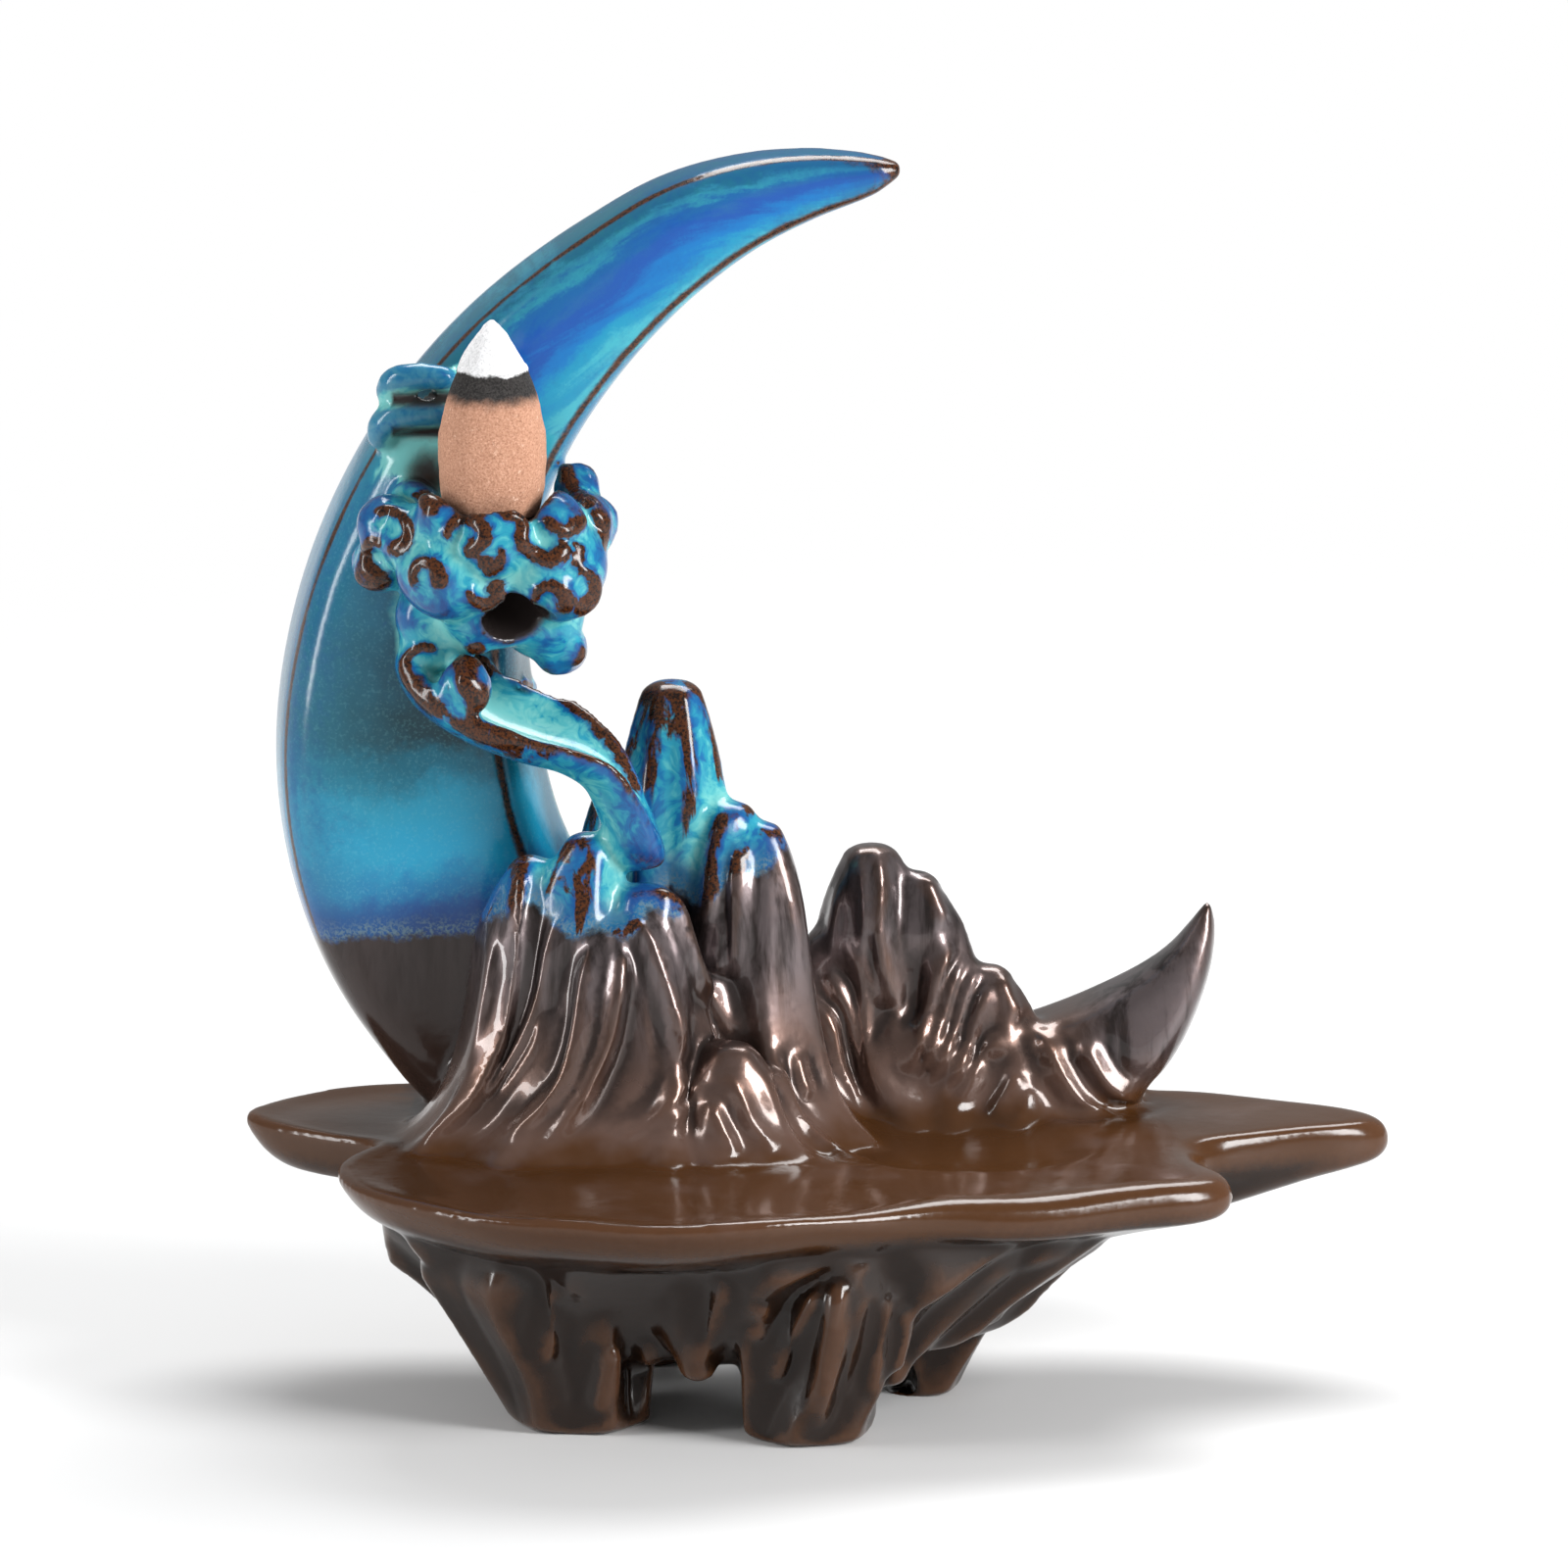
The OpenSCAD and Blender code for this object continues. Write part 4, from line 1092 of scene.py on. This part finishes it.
def makeGlaze():
    look = glazeLook
    material, tree, shader = newMaterial("reactiveGlaze")
    add, less, times, most, over, blend, marked, around = shorthand(tree)
    point, height = millimetres(tree)

    # streaks run down the peaks and along the crescent
    down = scaled(tree, point, (1, 1, 0.16))
    arc = tree.nodes.new("ShaderNodeCombineXYZ")
    link(tree, times(marked("alongMoon"), 0.22), arc.inputs["X"])
    link(tree, marked("outFromMoon"), arc.inputs["Y"])
    arc.inputs["Z"].default_value = 3

    ridge, broad, rise = marked("fineRidge"), marked("broadRidge"), marked("glazeRise")
    patchy = noiseNode(tree, point, 0.10, 3)
    fine = noiseNode(tree, point, 0.95, 4)
    speck = noiseNode(tree, point, 2.6, 2, 0.6)
    swirl = noiseNode(tree, point, 0.30, 3, 0.5, 2.2)
    streak = noiseNode(tree, down, 0.32, 4, 0.6, 0.4)
    arcStreak = noiseNode(tree, arc.outputs["Vector"], 0.20, 5, 0.62, 0.8)

    # on the crescent: bands by height below, the dark one painted shadow under the cloud and the chute, and
    # streaked bands from edge to edge on the horn
    level = add(height, add(around(patchy, 9), around(fine, 4)))
    low = heightRamp(tree, level, look["crescent"], 60, 126)
    west = over(add(marked("acrossMoon"), around(patchy, 0.6)), 0.35, 0.95)
    low = blend(times(west, 0.5), low, (0.03, 0.22, 0.32))
    low = blend(times(over(speck, 0.50, 0.72), 0.15), low, look["pale"])
    across = add(marked("acrossMoon"), around(arcStreak, 0.75))
    horn = ramp(tree, add(across, around(speck, 0.10)), look["horn"])
    blue = blend(over(height, 112, 132), low, horn)

    # elsewhere it lies pale in the hollows, deep over the swells
    swell = times(maths(tree, "MINIMUM", broad, 0.9), 0.24)
    swell = add(swell, times(ridge, 1.5))
    swell = add(add(swell, 0.34), around(swirl, 1.3))
    swell = less(swell, times(marked("onWisp"), 0.55))
    flowing = ramp(tree, add(swell, around(streak, 0.5)), look["flowing"])
    blue = blend(marked("onMoon"), flowing, blue)

    # towards its lower line it thins: a deep blue band, then a speckled fringe
    edge = add(rise, around(fine, 2.4))
    band = less(1.0, over(edge, 2.5, 6.5))
    blue = blend(times(band, 0.75), blue, (0.014, 0.055, 0.20))
    fringe = times(less(1.0, over(edge, 0.5, 3.4)),
                   over(speck, 0.42, 0.62))
    blue = blend(fringe, blue, (0.10, 0.17, 0.22))

    # it breaks brown over curls, sharp ridges and the crescent's rims
    curl = add(marked("curlCover"), around(fine, 0.5))
    curl = add(curl, around(swirl, 0.9))
    broken = add(ridge, around(fine, 0.10))
    rim = add(marked("rimLine"), times(fine, 0.3))
    rim = add(rim, around(arcStreak, 0.9))
    rust = most(over(broken, 0.15, 0.22), over(rim, 0.55, 1.05))
    rust = most(rust, over(curl, 0.46, 0.62))
    rust = times(rust, less(1.0, marked("onWisp")))
    # the peaks' tops are brown where they swell, streaked down the folds
    crest = add(times(broad, 0.16), times(ridge, 3.0))
    crest = add(crest, around(streak, 3.4))
    crest = times(over(crest, 0.42, 0.66), marked("onTops"))
    rust = most(rust, crest)
    # painted shade: the cup's wall, the passage's mouth, the slots between the wisps and the nook behind the
    # cone are painted near black
    rust = most(rust, marked("darkPlaces"))
    brownBreak = blend(over(speck, 0.36, 0.60), look["breakDark"], look["breakBrown"])
    brownBreak = blend(marked("darkPlaces"), brownBreak, look["hollow"])
    halo = most(over(broken, 0.05, 0.15), over(curl, 0.18, 0.44))
    blue = blend(times(halo, 0.6), blue, (0.008, 0.060, 0.22))
    blue = blend(rust, blue, brownBreak)

    # below the blue: dark brown with a pearl lustre, warmer down the skirts and olive on the ledge
    foot = blend(over(add(ridge, around(patchy, 0.3)), 0.0, 0.16), look["base"], look["baseWarm"])
    skirt = blend(over(add(height, around(patchy, 10)), 33.5, 38), look["olive"], look["warm"])
    peak = blend(over(streak, 0.34, 0.58), look["shade"], look["pearl"])
    lower = add(height, around(patchy, 14))
    brown = blend(most(over(lower, 42, 60), marked("onHorn")), skirt, peak)
    # painted shade in the folds' valleys, which also stands for the glaze pooling dark there
    valley = less(1.0, over(add(ridge, around(fine, 0.08)), -0.13, 0.02))
    valley = times(valley, over(height, 36, 42))
    brown = blend(times(valley, 0.75), brown, look["valley"])
    brown = blend(times(marked("onStem"), 0.85), brown, look["stem"])
    brown = blend(over(add(height, around(fine, 1.5)), 27.6, 30.4), foot, brown)
    brown = blend(times(over(broken, 0.08, 0.2), 0.35), brown, (0.10, 0.045, 0.024))
    glazed = over(edge, -0.6, 0.8)
    link(tree, blend(glazed, brown, blue), shader.inputs["Base Color"])

    onPeaks = most(over(lower, 34, 48), marked("onHorn"))
    onPeaks = times(onPeaks, less(1.0, glazed))
    onPeaks = times(onPeaks, less(1.0, marked("onStem")))
    link(tree, times(onPeaks, 0.8), shader.inputs["Metallic"])
    satin = add(0.12, times(fine, 0.10))
    link(tree, add(satin, times(onPeaks, 0.16)), shader.inputs["Roughness"])
    link(tree, times(onPeaks, 0.6), shader.inputs["Coat Weight"])
    shader.inputs["Coat Roughness"].default_value = 0.04
    shader.inputs["IOR"].default_value = 1.4

    addBump(tree, shader, 0.2, noiseNode(tree, point, 0.4, 3))
    return material


burner.data.materials.append(makeGlaze())
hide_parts("burner_body")
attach(burner, "root")
print("glaze made")


# incense cone

def sculptCone():
    bm = bmesh.new()
    half = cone["width"] / 2
    side = [(r * half, h * cone["height"]) for h, r in cone["side"] + cone["ash"]]
    bore = cone["bore"] / 2
    inner = cone["boreShare"] * cone["height"]
    profile = [(0, inner), (bore * 0.8, inner), (bore, inner - 0.4), (bore, 0), *side, (0, cone["height"])]
    # fine steps along the profile, so that the powder's grain can be pressed into it
    path = []
    for a, b in zip(profile, profile[1:]):
        steps = max(1, int(math.dist(a, b) / 0.35))
        path += [(a[0] + (b[0] - a[0]) * i / steps, a[1] + (b[1] - a[1]) * i / steps) for i in range(steps)]
    path.append(profile[-1])
    end = bm.verts.new((path[0][0], 0, path[0][1]))
    for r, h in path[1:]:
        end = bmesh.ops.extrude_vert_indiv(bm, verts=[end])["verts"][0]
        end.co = (r, 0, h)
    bmesh.ops.spin(bm, geom=bm.verts[:] + bm.edges[:], cent=(0, 0, 0), axis=(0, 0, 1),
                   angle=2 * math.pi, steps=128, use_merge=True)
    bmesh.ops.remove_doubles(bm, verts=bm.verts, dist=0.002)
    ashFrom = cone["side"][-1][0] * cone["height"]
    for vert in bm.verts:
        r = math.hypot(vert.co.x, vert.co.y)
        if r > bore + 0.2 or vert.co.z > inner + 1:
            isAsh = vert.co.z > ashFrom - 0.1
            push = uneven(vert.co, 1.1, 0.10 if isAsh else 0.05) + uneven(vert.co, 4, 0.16)
            if isAsh:
                push += uneven((vert.co.x, vert.co.y, vert.co.z * 0.4), 1.6, 0.16, 9)
            out = Vector((vert.co.x, vert.co.y, 0))
            if r > 0.05:
                vert.co += out.normalized() * push * min(1, r)
            if abs(vert.co.z - ashFrom) < 0.6:
                vert.co.z += uneven((vert.co.x, vert.co.y, 0), 2.2, 0.5, 4)
            vert.co.z = max(vert.co.z, 0)
    bmesh.ops.recalc_face_normals(bm, faces=bm.faces)
    bmesh.ops.translate(bm, vec=coneAt + Vector((0, 0, 0.05)), verts=bm.verts)
    bmesh.ops.scale(bm, vec=(mm, mm, mm), verts=bm.verts)
    piece = asObject(bm, "incenseCone")
    shadeSmooth(piece)
    return piece


def makeIncense():
    material, tree, shader = newMaterial("pressedIncense")
    point, height = millimetres(tree, (-coneAt.x, -coneAt.y, -coneAt.z))
    up = maths(tree, "ADD", height, centred(tree, noiseNode(tree, point, 0.6, 3), 1.6))
    powder = noiseNode(tree, point, 3.5, 5, 0.7)
    cracks = noiseNode(tree, point, 1.1, 4, 0.65)
    tan = ramp(tree, powder, [(0.30, (0.27, 0.125, 0.078)), (0.5, (0.48, 0.25, 0.16)),
                              (0.70, (0.66, 0.39, 0.28))])
    tan = mixColour(tree, mask(tree, cracks, 0.62, 0.72), tan, (0.74, 0.50, 0.38))
    char = ramp(tree, powder, [(0.35, (0.012, 0.011, 0.011)), (0.65, (0.05, 0.046, 0.044))])
    ash = ramp(tree, powder, [(0.3, (0.55, 0.55, 0.56)), (0.6, (0.86, 0.86, 0.87))])
    charFrom = 0.60 * cone["height"]
    ashFrom = cone["side"][-1][0] * cone["height"]
    colour = mixColour(tree, mask(tree, up, charFrom - 0.9, charFrom + 1.1), tan, char)
    colour = mixColour(tree, mask(tree, up, ashFrom - 0.15, ashFrom + 0.25), colour, ash)
    link(tree, colour, shader.inputs["Base Color"])
    shader.inputs["Roughness"].default_value = 0.9
    shader.inputs["Specular IOR Level"].default_value = 0.25
    addBump(tree, shader, 0.7, maths(tree, "ADD", powder, cracks))
    return material


incense = sculptCone()
incense.data.materials.append(makeIncense())
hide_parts("incense_cone")
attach(incense, "root")
print("cone made")


# floor and light, with the camera at the place that view gives

studio = {
    "floor": (0.72, 0.72, 0.72),
    "fade": (0.15, 0.60),
    "room": 0.32,
    "aim": (0, 0.01, 0.08),
    # each light's place, size and power
    "lights": {
        "rightBox": ((0.72, -0.46, 0.42), (0.28, 0.48), 11.5),
        "leftStrip": ((-0.80, -0.30, 0.30), (0.12, 0.9), 6),
        "topBack": ((0.10, 0.50, 0.80), (0.7, 0.35), 8),
    },
}


def makeFloor():
    bm = bmesh.new()
    bmesh.ops.create_grid(bm, x_segments=2, y_segments=2, size=8)
    floor = asObject(bm, "floor")
    material, tree, shader = newMaterial("paleFloor")
    shader.inputs["Base Color"].default_value = (*studio["floor"], 1)
    shader.inputs["Roughness"].default_value = 0.6
    # away from the part the camera sees the floor fade to plain white
    white = tree.nodes.new("ShaderNodeEmission")
    path = tree.nodes.new("ShaderNodeLightPath")
    far = tree.nodes.new("ShaderNodeVectorMath")
    far.operation = "LENGTH"
    link(tree, tree.nodes.new("ShaderNodeTexCoord").outputs["Object"], far.inputs[0])
    seen = maths(tree, "MAXIMUM", path.outputs["Is Camera Ray"], path.outputs["Is Glossy Ray"])
    seen = maths(tree, "MAXIMUM", seen, path.outputs["Is Transmission Ray"])
    fade = maths(tree, "MULTIPLY", seen, mask(tree, far.outputs["Value"], *studio["fade"]))
    mix = tree.nodes.new("ShaderNodeMixShader")
    link(tree, fade, mix.inputs["Fac"])
    link(tree, shader.outputs["BSDF"], mix.inputs[1])
    link(tree, white.outputs["Emission"], mix.inputs[2])
    link(tree, mix.outputs["Shader"], tree.nodes["Material Output"].inputs["Surface"])
    floor.data.materials.append(material)


def areaLight(name, at, size, power):
    lamp = bpy.data.lights.new(name, "AREA")
    lamp.shape = "RECTANGLE"
    lamp.size, lamp.size_y = size
    lamp.energy = power
    holder = bpy.data.objects.new(name, lamp)
    holder.location = at
    holder.rotation_euler = (Vector(studio["aim"]) - Vector(at)).to_track_quat("-Z", "Y").to_euler()
    bpy.context.scene.collection.objects.link(holder)


def makeStudio():
    makeFloor()
    for name, light in studio["lights"].items():
        areaLight(name, *light)
    world = bpy.data.worlds.new("softRoom")
    bpy.context.scene.world = world
    world.use_nodes = True
    back = world.node_tree.nodes["Background"]
    back.inputs["Color"].default_value = (1, 1, 1, 1)
    back.inputs["Strength"].default_value = studio["room"]
    camera = bpy.data.objects.new("camera", bpy.data.cameras.new("camera"))
    camera.data.lens = view["lens"]
    camera.data.sensor_width = view["sensor"]
    camera.data.clip_end = 50
    tilt = math.radians(view["tilt"])
    camera.location = Vector(view["lookAt"]) + Vector((0, -math.cos(tilt), math.sin(tilt))) * view["far"]
    camera.rotation_euler = (math.radians(90) - tilt, 0, 0)
    bpy.context.scene.collection.objects.link(camera)
    bpy.context.scene.camera = camera
    bpy.context.scene.view_settings.view_transform = "Standard"


makeStudio()
print("studio set")
